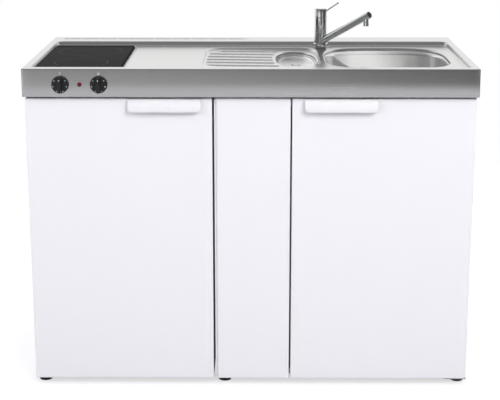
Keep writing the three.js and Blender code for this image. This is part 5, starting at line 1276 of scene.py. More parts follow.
@dataclass
class Bowls:
    """The main bowl with its drain seat and the shallow waste bowl with its sieve holes."""

    main_sheet: float = 1.0
    main_floor: float = 728.0
    main_fillet: float = 38.0
    main_fall: float = 2.0
    taper: float = 0.05
    seat_radius: float = 62.0
    seat: tuple[tuple[float, float], ...] = (
        (-0.6, -2.2), (-1.2, -3.0), (-1.6, -4.8), (-2.4, -5.8), (-4.0, -6.0), (-17.9, -6.0),
    )
    waste_sheet: float = 0.6
    waste_floor: float = 853.0
    waste_fillet: float = 7.0
    sieve_hole: float = 4.0
    sieve_pitch: float = 9.5
    # inner radius and depth of the black sleeves in the sieve holes, painted shade that darkens them
    sleeve: tuple[float, float] = (3.5, 6.0)

    def _main(self) -> Piece:
        """Makes the deep bowl: walls, floor falling to the drain, and the seat's hole.

        Returns:
            The piece.
        """
        rings, seam = [], MAIN_OVAL.seam
        end = self.main_floor + self.main_fillet
        for k in range(9):
            z = seam + (end - seam) * k / 8
            rings.append(MAIN_OVAL.ring((z - seam) * self.taper, z))
        narrow = (seam - end) * self.taper
        for k in range(1, 11):
            angle = math.pi / 2 * k / 10
            across = self.main_fillet * (1 - math.cos(angle))
            rings.append(MAIN_OVAL.ring(-narrow - across, end - self.main_fillet * math.sin(angle)))
        outline, radius = rings[-1], self.seat_radius
        circle = oval(MAIN_OVAL.x, MAIN_OVAL.y, radius, radius, 2, self.main_floor - self.main_fall)
        for k in range(1, 9):
            z = self.main_floor - self.main_fall * smooth_step(k / 8)
            rings.append([Vector((*p.lerp(q, k / 8).xy, z)) for p, q in zip(outline, circle)])
        for grow, z in self.seat:
            r = radius + grow
            rings.append(oval(MAIN_OVAL.x, MAIN_OVAL.y, r, r, 2, self.main_floor + z))
        draft = Draft()
        draft.loft(rings, bottom=False, top=False)
        piece = draft.finish("main_bowl_pressing", STEEL_BOWL, 50, Vector((0, 0, 1)))
        return thicken(piece, self.main_sheet)

    def _waste(self) -> Piece:
        """Makes the shallow bowl, with five holes in its floor.

        Returns:
            The piece.
        """
        draft = Draft()
        end = self.waste_floor + self.waste_fillet
        rings = [WASTE_OVAL.ring(0, WASTE_OVAL.seam), WASTE_OVAL.ring(0, end)]
        for k in range(1, 9):
            angle = math.pi / 2 * k / 8
            across = self.waste_fillet * (1 - math.cos(angle))
            rings.append(WASTE_OVAL.ring(-across, end - self.waste_fillet * math.sin(angle)))
        draft.loft(rings, bottom=False, top=False)
        hole, centres = self.sieve_hole, self._sieve_centres()
        loops = [WASTE_OVAL.ring(-self.waste_fillet, 0), WASTE_OVAL.ring(-self.waste_fillet - 2, 0)]
        loops += [oval(x, y, hole + grow, hole + grow, 2, 0, 24) for x, y in centres for grow in (0, 1)]
        lay_sheet(
            draft, loops, [], lambda x, y: self.waste_floor,
            lambda x, y: any(math.hypot(x - cx, y - cy) <= hole for cx, cy in centres),
        )
        piece = draft.finish("waste_bowl_pressing", STEEL_BOWL, 50, Vector((0, 0, 1)))
        return thicken(piece, self.waste_sheet)

    def _sieve_centres(self) -> list[tuple[float, float]]:
        """Where the five sieve holes are."""
        cross = ((0, 0), (-1, -1), (-1, 1), (1, -1), (1, 1))
        return [(WASTE_OVAL.x + i * self.sieve_pitch, WASTE_OVAL.y + j * self.sieve_pitch) for i, j in cross]

    def _painted_shade_sleeves(self) -> Piece:
        """Makes the black sleeves that line the sieve holes: painted shade that darkens the holes.

        Returns:
            The piece.
        """
        draft = Draft()
        outer, (inner, depth) = self.sieve_hole, self.sleeve
        top, low = self.waste_floor + PRINT_RISE, self.waste_floor - depth
        section = ((outer, top), (outer, low), (inner, low), (inner, top), (outer, top))
        for x, y in self._sieve_centres():
            draft.loft([oval(x, y, r, r, 2, z, 24) for r, z in section], bottom=False, top=False)
        return draft.finish("waste_sieve_sleeves", BLACK)

    def build(self) -> None:
        """Builds both bowls."""
        settle(self._main(), "unit", "stainless", "main_bowl")
        settle(self._waste(), "unit", "stainless", "waste_bowl")
        settle(self._painted_shade_sleeves(), "unit", "black_plastic")


# ---------------------------------------------------------------- hob and controls


@dataclass
class Hob:
    """The ceramic glass with its two printed zones."""

    glass: Region = field(default_factory=lambda: Region(-576, -347, 66, 477, 5, 5))
    low: float = 878.0
    high: float = 882.0
    zones: tuple[tuple[float, float, float], ...] = ((-462.0, 156.0, 72.5), (-462.0, 364.0, 90.0))
    dash: tuple[float, float] = (3.4, 0.7)
    dashes: int = 60

    def _glass(self) -> Piece:
        """Makes the slab with its ground edge.

        Returns:
            The piece.
        """
        steps = ((-0.8, self.low), (0.0, self.low + 0.8), (0.0, self.high - 1.0), (-0.3, self.high - 0.4),
                 (-0.9, self.high - 0.05), (-1.6, self.high), (-6.0, self.high))
        draft = Draft()
        draft.loft([self.glass.ring(grow, z) for grow, z in steps])
        return draft.finish("hob_ceramic_glass", GLASS, 50)

    def _zone(self, name: str, x: float, y: float, radius: float) -> Piece:
        """Makes a printed ring of short dashes.

        Args:
            name: The piece's name.
            x, y: The zone's centre.
            radius: Its radius.

        Returns:
            The piece.
        """
        length, width = self.dash
        draft = Draft()
        low = (radius - width / 2, -APRON_FACE - length / 2, -PRINT_BED)
        draft.block(low, (radius + width / 2, -APRON_FACE + length / 2, PRINT_RISE))
        values = {"Count": self.dashes, "Centre": at(x, y, self.high), "Axis": (0.0, 0.0, 1.0), "First": 0.0,
                  "Step": 2 * math.pi / self.dashes}
        return REPEATS.make(Pattern.ARC, name, ZONE_PRINT, values, shape=draft)

    def build(self) -> None:
        """Builds the glass and its printed zones."""
        settle(self._glass(), "unit", "black_glass", "hob_glass")
        for name, zone in zip(("zone_print_front", "zone_print_rear"), self.zones):
            settle(self._zone(name, *zone), "unit", "black_glass")


@dataclass
class Knob:
    """A control knob: a skirted disc with a grip bar, an index dot and a ring of dial marks, and its sign.

    Attributes:
        mark: Radius and thickness of a dial mark.
        mark_inset, mark_face: The marks' distance from the disc's edge and height on the disc.
        index_ends: Heights of the index dot's foot and top.
        sign_rise: Distance from the disc's edge up to the sign's middle.
        zone_side: How far the sign's dot is from its middle.
    """

    name: str
    body: str
    x: float
    z: float = 848.5
    radius: float = 23.0
    grip_half: float = 5.5
    spindle: float = 3.0
    marks: int = 7
    mark: tuple[float, float] = (1.25, 0.06)
    mark_inset: float = 4.9
    mark_face: float = 8.95
    index_radius: float = 1.5
    index_ends: tuple[float, float] = (23.6, 23.95)
    index_share: float = 0.6
    sign_rise: float = 6.0
    sign_half: float = 2.6
    sign_line: float = 0.35
    sign_dot: float = 0.9
    zone_side: float = 1.2

    def _place(self) -> Matrix:
        """Turns the knob's own axis out of the apron."""
        return Matrix.Translation((self.x, 0, self.z)) @ Matrix.Rotation(math.pi / 2, 4, "X")

    def _disc(self) -> Piece:
        """Makes the disc, the grip bar and the spindle.

        Returns:
            The piece.
        """
        r, draft, place = self.radius, Draft(), self._place()
        draft.turn([
            (0, 0.6), (r - 0.4, 0.6), (r, 1.0), (r, 2.2), (r - 0.25, 3.2), (r - 0.8, 6.4), (r - 1.5, 7.5),
            (r - 2.8, 8.3), (r - 4.4, 8.85), (r - 6, 9.0), (10, 9.25), (0, 9.3),
        ], place, 72)
        draft.turn([(0, -30), (self.spindle, -30), (self.spindle, 1.0), (0, 1.0)], place, 24)
        rings, steps = [], 56
        end, side, waist = 0.62, 0.45, 0.35
        for height, narrow, short in (
            (7.0, 1.12, 1.02), (9.2, 1.04, 1.0), (10.5, 1.0, 1.0), (21.0, 0.98, 0.99), (22.4, 0.93, 0.975),
            (23.3, 0.84, 0.955), (23.75, 0.7, 0.93), (23.85, 0.5, 0.9),
        ):
            ring = []
            for k in range(steps):
                angle = 2 * math.pi * k / steps
                c, s = math.cos(angle), math.sin(angle)
                along = (r - 2) * short * math.copysign(abs(s) ** end, s)
                half = self.grip_half * (1 - waist * (along / r) ** 2) * narrow
                ring.append(place @ Vector((half * math.copysign(abs(c) ** side, c), along, height)))
            rings.append(ring)
        draft.loft(rings)
        return draft.finish(self.name + "_moulding", BLACK, 45)

    def _marks(self) -> Piece:
        """Makes the dial marks, printed round the disc.

        Returns:
            The piece.
        """
        draft, (radius, thick) = Draft(), self.mark
        top = Matrix.Translation((0, -APRON_FACE, self.radius - self.mark_inset))
        face = top @ Matrix.Translation((0, -self.mark_face, 0)) @ Matrix.Rotation(math.pi / 2, 4, "X")
        draft.turn([(0, 0), (radius, 0), (radius, thick), (0, thick)], face, 10)
        values = {"Count": self.marks, "Centre": at(self.x, 0, self.z), "Axis": (0.0, 1.0, 0.0), "First": 0.0,
                  "Step": 2 * math.pi / self.marks}
        return REPEATS.make(Pattern.ARC, self.name + "_dial_marks", PRINT, values, shape=draft)

    def _index(self) -> Piece:
        """Makes the white dot on the grip that points at the marks.

        Returns:
            The piece.
        """
        draft, radius, (low, high) = Draft(), self.index_radius, self.index_ends
        place = self._place() @ Matrix.Translation((0, self.radius * self.index_share, 0))
        draft.turn([(0, low), (radius, low), (radius, high), (0, high)], place, 20)
        return draft.finish(self.name + "_index", PRINT)

    def _symbol(self) -> Piece:
        """Makes the printed sign over the knob: a square with a dot for the zone that the knob controls.

        Returns:
            The piece.
        """
        draft, z = Draft(), self.z + self.radius + self.sign_rise
        half, line, dot, side = self.sign_half, self.sign_line, self.sign_dot, self.zone_side
        for low, high in (((-half, -half), (half, line - half)), ((-half, half - line), (half, half)),
                          ((-half, line - half), (line - half, half - line)),
                          ((half - line, line - half), (half, half - line)),
                          ((-dot, side - dot), (dot, side + dot))):
            corner = (self.x + low[0], -PRINT_BED, z + low[1])
            draft.block(corner, (self.x + high[0], PRINT_RISE, z + high[1]))
        return draft.finish(self.name + "_zone_sign", PRINT)

    def build(self) -> None:
        """Builds the knob and its prints."""
        settle(self._disc(), self.body, "black_plastic", self.body)
        settle(self._marks(), self.body, "black_plastic")
        settle(self._index(), self.body, "black_plastic")
        settle(self._symbol(), "unit", "white_plastic")


@dataclass
class PilotLamp:
    """The faceted red lens between the knobs."""

    x: float = -447.5
    z: float = 848.5
    radius: float = 6.0
    neck: float = 4.8

    def build(self) -> None:
        """Builds the lens with its neck through the apron."""
        place = Matrix.Translation((self.x, 0, self.z)) @ Matrix.Rotation(math.pi / 2, 4, "X")
        draft = Draft()
        draft.turn([
            (0, -24), (self.neck, -24), (self.neck, 0.3), (self.radius, 0.3), (self.radius, 1.2),
            (self.radius * 0.86, 2.0), (self.radius * 0.55, 3.3), (0, 4.0),
        ], place, 10)
        settle(draft.finish("pilot_lens", LENS, 12), "unit", "red_lens", "pilot_lamp")


# ---------------------------------------------------------------- tap


@dataclass
class Tap:
    """The single-lever tap: base, swivelling spout with its aerator, lever cap and lever."""

    x: float = 204.0
    y: float = 474.0
    deck: float = 878.0
    base: tuple[float, float] = (21.5, 13.0)
    radius: float = 19.0
    core: float = 15.5
    seam: float = 88.0
    top: float = 115.0
    spout_radius: float = 10.2
    spout_rise: float = 26.6
    spout_start: float = 16.0
    spout_reach: float = 194.0
    spout_azimuth: float = -47.7
    aerator: tuple[float, float] = (8.4, 10.0)
    aerator_back: float = 12.0
    lever_azimuth: float = -46.0
    lever_rise: float = 30.0
    lever_tip: tuple[float, float] = (69.5, 137.0)
    lever_radius: float = 2.3
    ball: float = 3.0
    sharp: float = 30.0

    def _place(self, azimuth: float = 0.0) -> Matrix:
        """Stands the tap on the deck, turned about its axis."""
        stand = Matrix.Translation((self.x, self.y, self.deck))
        return stand @ Matrix.Rotation(math.radians(azimuth), 4, "Z")

    @staticmethod
    def _along(origin: Vector, rise: float) -> Matrix:
        """Lays z along a direction that rises from x."""
        return Matrix.Translation(origin) @ Matrix.Rotation(math.radians(90 - rise), 4, "Y")

    def _tube(self) -> tuple[Matrix, float]:
        """Finds the spout's tube.

        Returns:
            Its place, with z along it, and its length.
        """
        start = Vector((0, 0, self.spout_start))
        place = self._place(self.spout_azimuth) @ self._along(start, self.spout_rise)
        return place, self.spout_reach / math.cos(math.radians(self.spout_rise))

    def _base(self) -> Piece:
        """Makes the fixed ring, the core inside the spout's sleeve, the shank and its nut.

        Returns:
            The piece.
        """
        radius, height = self.base
        draft, place = Draft(), self._place()
        draft.turn([
            (0, -42), (14.6, -42), (15, -41.5), (15, 0), (radius - 0.4, 0), (radius, 0.5),
            (radius, height - 3), (radius - 0.25, height - 1.6), (radius - 0.9, height - 0.6),
            (radius - 2, height), (self.core, height), (self.core, self.seam - 0.4), (0, self.seam - 0.4),
        ], place, 72)
        draft.turn([(0, -14), (24, -14), (25, -13), (25, -2.3), (24, -1.3), (0, -1.3)], place, 6)
        return draft.finish("tap_base_ring", CHROME, self.sharp)

    def _spout(self) -> Piece:
        """Makes the sleeve and the tube in one, bored for the core.

        Returns:
            The piece.
        """
        place = self._place(self.spout_azimuth)
        low, high, r = self.base[1] + 0.3, self.seam - 0.3, self.radius
        sleeve = [(0, low), (r - 0.7, low), (r, low + 0.7), (r, high - 0.7), (r - 0.7, high), (0, high)]
        draft = Draft()
        draft.turn(sleeve, place, 96)
        (tilt, length), s = self._tube(), self.spout_radius
        draft.turn([
            (0, 14), (s, 14), (s, length - 1.6), (s - 0.3, length - 0.6), (s - 1.0, length),
            (s - 1.6, length), (s - 1.6, length - 2), (0, length - 2),
        ], tilt, 64)
        reach, top, end = self._outlet()
        boss = [(0, end + 0.3), (7.2, end + 0.3), (7.8, end + 0.9), (7.8, top), (0, top)]
        draft.turn(boss, place @ Matrix.Translation((reach, 0, 0)), 48)
        piece = draft.finish("tap_spout_tube", CHROME, self.sharp)
        bore, radius = Draft(), self.core + 0.6
        bore.turn([(0, low - 2), (radius, low - 2), (radius, high + 2), (0, high + 2)], place, 96)
        return carve(piece, bore.finish("bore", CHROME), self.sharp)

    def _outlet(self) -> tuple[float, float, float]:
        """Finds where the aerator sits under the tube.

        Returns:
            Reach of its axis, height of the tube's middle over it and height of the boss's end.
        """
        reach = self.spout_reach - self.aerator_back
        rise = math.radians(self.spout_rise)
        middle = self.spout_start + reach * math.tan(rise)
        under = middle - self.spout_radius / math.cos(rise)
        return reach, middle, under - self.aerator[0] * math.tan(rise) - 1.3

    def _aerator(self) -> Piece:
        """Makes the aerator's ring under the spout's end.

        Returns:
            The piece.
        """
        reach, _, top = self._outlet()
        r, height = self.aerator
        place = self._place(self.spout_azimuth) @ Matrix.Translation((reach, 0, 0))
        draft, low = Draft(), top - height
        draft.turn([
            (0, low + 3), (r - 1.6, low + 3), (r - 1.6, low + 0.3), (r - 1.3, low), (r - 0.6, low),
            (r, low + 0.7), (r, low + 3.2), (r - 0.25, low + 3.5), (r - 0.25, low + 3.8), (r, low + 4.1),
            (r, top - 0.7), (r - 0.6, top), (0, top),
        ], place, 48)
        return draft.finish("tap_aerator_ring", CHROME, self.sharp)

    def _plug(self) -> Piece:
        """Makes the dark plug that closes the tube's end.

        Returns:
            The piece.
        """
        tilt, length = self._tube()
        draft = Draft()
        draft.turn([
            (0, length - 1.95), (8.5, length - 1.95), (8.5, length - 0.7), (7.9, length - 0.25),
            (5, length - 0.1), (0, length - 0.05),
        ], tilt, 40)
        return draft.finish("spout_end_plug", BLACK, 40)

    def _cap(self) -> Piece:
        """Makes the lever's cap, hollow below, with the hole that the lever leaves by.

        Returns:
            The piece.
        """
        base, top, r = self.seam + 2.45, self.top, self.radius
        draft = Draft()
        draft.turn([
            (0, top - 3), (r - 3, top - 3), (r - 2, top - 4), (r - 2, base), (r - 0.4, base), (r, base + 0.5),
            (r, top - 3.2), (r - 0.3, top - 1.9), (r - 1.1, top - 0.8), (r - 2.4, top - 0.15), (r - 4, top),
            (0, top),
        ], self._place(self.lever_azimuth), 96)
        piece = draft.finish("tap_lever_cap", CHROME, self.sharp)
        cutter = Draft()
        recess = [(0, -2), (3.4, -2), (3.4, 2.2), (5.6, 4.6), (7.5, 9.5), (0, 9.5)]
        cutter.turn(recess, self._lever_place(), 48)
        return carve(piece, cutter.finish("recess", CHROME), self.sharp)

    def _lever_place(self) -> Matrix:
        """Lays z along the lever, from its root in the cap's wall.

        Returns:
            The lever's place.
        """
        inner = self.radius - 2
        reach, height = self.lever_tip
        start = Vector((inner, 0, height - (reach - inner) * math.tan(math.radians(self.lever_rise))))
        return self._place(self.lever_azimuth) @ self._along(start, self.lever_rise)

    def _lever(self) -> Piece:
        """Makes the lever's pin with the ball at its end.

        Returns:
            The piece.
        """
        length = (self.lever_tip[0] - self.radius + 2) / math.cos(math.radians(self.lever_rise))
        r, ball = self.lever_radius, self.ball
        profile = [(0, -1.5), (r, -1.5), (r, 8), (r * 0.92, length - 2 * ball - 1)]
        for k in range(9):
            angle = math.radians(-48 + k * 17)
            profile.append((ball * math.cos(angle), length - ball + ball * math.sin(angle)))
        profile.append((0, length))
        draft = Draft()
        draft.turn(profile, self._lever_place(), 32)
        return draft.finish("tap_lever_pin", CHROME, 40)

    def build(self) -> None:
        """Builds the tap's pieces on their bodies."""
        settle(self._base(), "unit", "chrome", "tap_base")
        settle(self._spout(), "spout", "chrome", "tap_spout")
        settle(self._aerator(), "spout", "chrome", "tap_aerator")
        settle(self._plug(), "spout", "black_plastic")
        settle(self._cap(), "mixer_lever", "chrome", "tap_cap")
        settle(self._lever(), "mixer_lever", "chrome", "tap_lever")


# ---------------------------------------------------------------- fronts


@dataclass
class Front:
    """A lacquered steel front, folded back round its edges."""

    name: str
    node: str
    body: str
    box: tuple[float, float, float, float, float, float]
    radius: float = 2.5
    sheet: float = 1.0
    insets: tuple[float, ...] = (40.0, 8.0, 4.0)

    def build(self) -> None:
        """Builds the folded sheet."""
        x0, x1, y0, y1, z0, z1 = self.box
        rings = [(inset, y0) for inset in self.insets]
        for k in range(7):
            angle = math.pi / 2 * k / 6
            rings.append((self.radius * (1 - math.sin(angle)), y0 + self.radius * (1 - math.cos(angle))))
        rings += [(0.0, y0 + self.radius + 1), (0.0, y1)]
        draft = Draft()
        loops = []
        for inset, y in rings:
            corner = max(self.radius - inset, 0.3)
            flat = rounded(x0 + inset, x1 - inset, z0 + inset, z1 - inset, corner, corner, arc=5, pace=1e4)
            loops.append([Vector((p.x, y, p.y)) for p in flat])
        draft.loft(loops, bottom=True, top=False)
        piece = draft.finish(self.name, ENAMEL, 50, Vector((0, -1, 0)))
        settle(thicken(piece, self.sheet), self.body, "white_enamel", self.node)


@dataclass
class FoldedEdge:
    """The fixed front's folded edge, which shows in the gap beside the fridge door."""

    low: tuple[float, float, float] = (-97.0, 22.0, 24.0)
    high: tuple[float, float, float] = (-90.4, 36.0, 807.0)
    corner: float = 1.5

    def build(self) -> None:
        """Builds the folded edge."""
        draft = Draft()
        draft.block(self.low, self.high)
        piece = soften(draft.finish("fixed_front_folded_edge", ENAMEL), self.corner)
        settle(piece, "unit", "white_enamel")


@dataclass
class Handle:
    """A moulded lip handle at the top of a door, open below for the fingers."""

    name: str
    node: str
    body: str
    x: float
    top: float = 809.4
    face: float = 14.7
    half: float = 95.5
    height: float = 34.0
    proud: float = 19.0
    wall: float = 3.0
    corner: float = 12.0
    plate: tuple[float, float, float] = (1.0, 1.8, 27.0)
    columns: int = 48
    rows: int = 18

    def _skin(self, draft: Draft, proud: float, height: float) -> list[list[int]]:
        """Draws one side of the lip.

        Args:
            draft: The lip's draft.
            proud: How far this side stands over the door.
            height: How high it is.

        Returns:
            The numbers of its points, in upright lines from left to right.
        """
        lines = []
        for i in range(self.columns + 1):
            across = self.half * math.sin(math.pi / 2 * (2 * i / self.columns - 1))
            into = max(abs(across) - self.half + self.corner, 0.0)
            rise = self.corner - math.sqrt(max(self.corner ** 2 - into ** 2, 0.0))
            most = math.acos(min(max(rise / height, 0.0), 1.0))
            line = []
            for j in range(self.rows + 1):
                angle = most * j / self.rows
                y = self.face - proud * math.sin(angle)
                line.append(Vector((self.x + across, y, self.top + height * math.cos(angle) - self.height)))
            lines.append(draft.ring(line))
        for left, right in zip(lines, lines[1:]):
            draft.bridge(left, right, closed=False)
        return lines

    def build(self) -> None:
        """Builds the curved lip and the plate behind it."""
        draft = Draft()
        outer = self._skin(draft, self.proud, self.height)
        inner = self._skin(draft, self.proud - self.wall, self.height - self.wall)
        for k in (0, -1):
            draft.bridge([line[k] for line in outer], [line[k] for line in inner], closed=False)
            draft.bridge(outer[k], inner[k], closed=False)
        lip = draft.finish(self.name, HANDLE, 50)
        settle(soften(lip, 0.5), self.body, "handle_plastic", self.node)
        inset, thick, low = self.plate
        reach, plate = self.half - inset, Draft()
        front = (self.x - reach, self.face - thick, self.top - low)
        plate.block(front, (self.x + reach, self.face, self.top - inset))
        settle(soften(plate.finish(self.name + "_plate", HANDLE), 0.4), self.body, "handle_plastic")


# ---------------------------------------------------------------- refrigerator's back


@dataclass
class Condenser:
    """The serpentine tube on the refrigerator's back, with its upright wires and stand-off brackets."""

    x0: float = -551.0
    x1: float = -147.0
    back: float = 545.3
    y: float = 567.0
    low: float = 254.4
    high: float = 786.0
    rows: int = 6
    tube: float = 2.6
    wires: int = 6
    wire: float = 0.8
    wire_side: float = 30.0
    wire_end: float = 12.0
    bracket: tuple[float, float, float] = (40.0, 18.0, 10.0)
    bend_share: float = 0.45

    def _route(self) -> list[Vector]:
        """Draws the tube's middle line, with its bends rounded.

        Returns:
            Its points.
        """
        pitch = (self.high - self.low) / (self.rows - 1)
        bend, quarter = pitch * self.bend_share, [math.pi / 2 * k / 8 for k in range(9)]
        points = []
        for row in range(self.rows):
            z, heading = self.low + row * pitch, 1 if row % 2 == 0 else -1
            start, end = (self.x0, self.x1) if heading > 0 else (self.x1, self.x0)
            if row:
                for a in reversed(quarter):
                    x = start + heading * bend * (1 - math.sin(a))
                    points.append(Vector((x, self.y, z - bend * (1 - math.cos(a)))))
            else:
                points.append(Vector((start, self.y, z)))
            if row < self.rows - 1:
                for a in quarter:
                    x = end - heading * bend * (1 - math.sin(a))
                    points.append(Vector((x, self.y, z + bend * (1 - math.cos(a)))))
            else:
                points.append(Vector((end, self.y, z)))
        return points

    def build(self) -> None:
        """Builds the tube along its path, the row of wires and the four brackets."""
        values = {"Radius": self.tube * MM, "Sides": 16}
        tube = REPEATS.make(Pattern.PATH, "condenser_tube", BLACK_STEEL, values, path=[self._route()])
        settle(tube, "unit", "black_steel", "condenser_grid")
        rod = Draft()
        first, low, high = self.x0 + self.wire_side, self.low - self.wire_end, self.high + self.wire_end
        rod.turn([(0, low), (self.wire, low), (self.wire, high), (0, high)],
                 Matrix.Translation((first, self.y + self.tube, 0)), 10)
        step = (self.x1 - self.x0 - 2 * self.wire_side) / (self.wires - 1) * MM
        values = {"Count": self.wires, "Start": (0.0, 0.0, 0.0), "Step": (step, 0.0, 0.0)}
        wires = REPEATS.make(Pattern.ROW, "condenser_wires", BLACK_STEEL, values, shape=rod)
        settle(wires, "unit", "black_steel")
        inset, width, height = self.bracket
        draft = Draft()
        for x in (self.x0 + inset, self.x1 - inset):
            for z in (self.low, self.high):
                low_corner = (x - width / 2, self.back, z - height / 2)
                draft.block(low_corner, (x + width / 2, self.y, z + height / 2))
        settle(soften(draft.finish("condenser_brackets", BLACK_STEEL), 1.0), "unit", "black_steel")


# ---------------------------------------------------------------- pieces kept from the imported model


@dataclass
class FairCopies:
    """Smooth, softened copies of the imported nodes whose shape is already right.

    Attributes:
        merge: Points nearer to each other than this, in metres, become one.
        flat: Faces that bend less than this, in degrees, become one.
        soft: Width of the rounds of each node, in millimetres.
        sharp: Each node is shaded smooth up to this angle, in degrees.
        usual_soft, usual_sharp: The same for the nodes that these don't name.
    """

    merge: float = 5e-6
    flat: float = 1.0
    soft: dict[str, float] = field(default_factory=lambda: {
        "compressor": 1.5, "fridge_casing": 0.6, "fridge_liner": 1.2, "thermostat_housing": 1.0,
        "bottle_trap": 0.6, "magnet_catch": 0.6, "fridge_door_liner": 1.0, "regulator_left": 0.8,
        "regulator_right": 0.8, "thermostat_knob": 0.6,
    })
    sharp: dict[str, float] = field(default_factory=lambda: {"fridge_casing": 30.0})
    usual_soft: float = 0.25
    usual_sharp: float = 32.0

    def _copy(self, node: str, finish: Finish) -> Piece:
        """Copies a node, joins its triangles and shades it smooth.

        Args:
            node: The node's name.
            finish: The copy's finish.

        Returns:
            The piece.
        """
        mesh = frame["nodes"][node].data.copy()
        shape = bmesh.new()
        shape.from_mesh(mesh)
        bmesh.ops.remove_doubles(shape, verts=shape.verts, dist=self.merge)
        limit = math.radians(self.flat)
        bmesh.ops.dissolve_limit(shape, angle_limit=limit, verts=shape.verts, edges=shape.edges)
        shape.to_mesh(mesh)
        shape.free()
        for name in [a.name for a in mesh.attributes if a.name.startswith("custom_normal")]:
            mesh.attributes.remove(mesh.attributes[name])
        return new_object(node + "_fair", mesh, finish, self.sharp.get(node, self.usual_sharp))

    def build(self) -> None:
        """Copies every node that no other piece stands for."""
        slots = {part["node"]: part["material_slot"] for part in frame["record"]["subparts"]}
        for body, members in frame["record"]["behaviour"]["bodies"].items():
            for node in members:
                if node not in STOOD_FOR:
                    piece = self._copy(node, FINISHES[slots[node]])
                    settle(soften(piece, self.soft.get(node, self.usual_soft)), body, slots[node], node)


# ---------------------------------------------------------------- studio


@dataclass(frozen=True)
class Lamp:
    """A lamp that looks at a point; gloss shows the surroundings instead of it.

    Attributes:
        name: The lamp's name.
        place, target: Where it stands and what it looks at, in metres.
        power: Its power, in watts.
        size: Width and height of a soft rectangle, or a spot's radius twice, in metres.
        colour: Its colour.
        spread: Opening of a soft-edged spot, in degrees, or 0 for a rectangle.
    """

    name: str
    place: Triple
    target: Triple
    power: float
    size: tuple[float, float]
    colour: Triple = (1.0, 1.0, 1.0)
    spread: float = 0.0

    def build(self) -> None:
        """Builds the lamp."""
        light = bpy.data.lights.new(self.name, "SPOT" if self.spread else "AREA")
        if self.spread:
            light.spot_size = math.radians(self.spread)
            light.spot_blend = 1.0
            light.shadow_soft_size = self.size[0]
        else:
            light.shape = "RECTANGLE"
            light.size, light.size_y = self.size
        light.energy = self.power
        light.color = self.colour
        lamp = bpy.data.objects.new(self.name, light)
        lamp.visible_glossy = False
        lamp.location = self.place
        lamp.rotation_euler = (Vector(self.target) - Vector(self.place)).to_track_quat("-Z", "Y").to_euler()
        bpy.context.scene.collection.objects.link(lamp)


LAMPS = (
    Lamp("key", (1.6, -3.2, 3.0), (0, 0, 0.5), 80.0, (1.8, 1.4), (1.0, 0.99, 0.97)),
    Lamp("fill", (-2.6, -2.6, 2.0), (0, 0, 0.4), 28.0, (2.2, 2.0), (0.95, 0.96, 1.0)),
    Lamp("top", (-0.2, 0.2, 3.4), (0, 0, 0.8), 30.0, (2.6, 1.6)),
    Lamp("bowl_spot", (-1.1, -2.6, 1.75), at(290, 440, 835), 3200.0, (0.05, 0.05), spread=5.0),
)


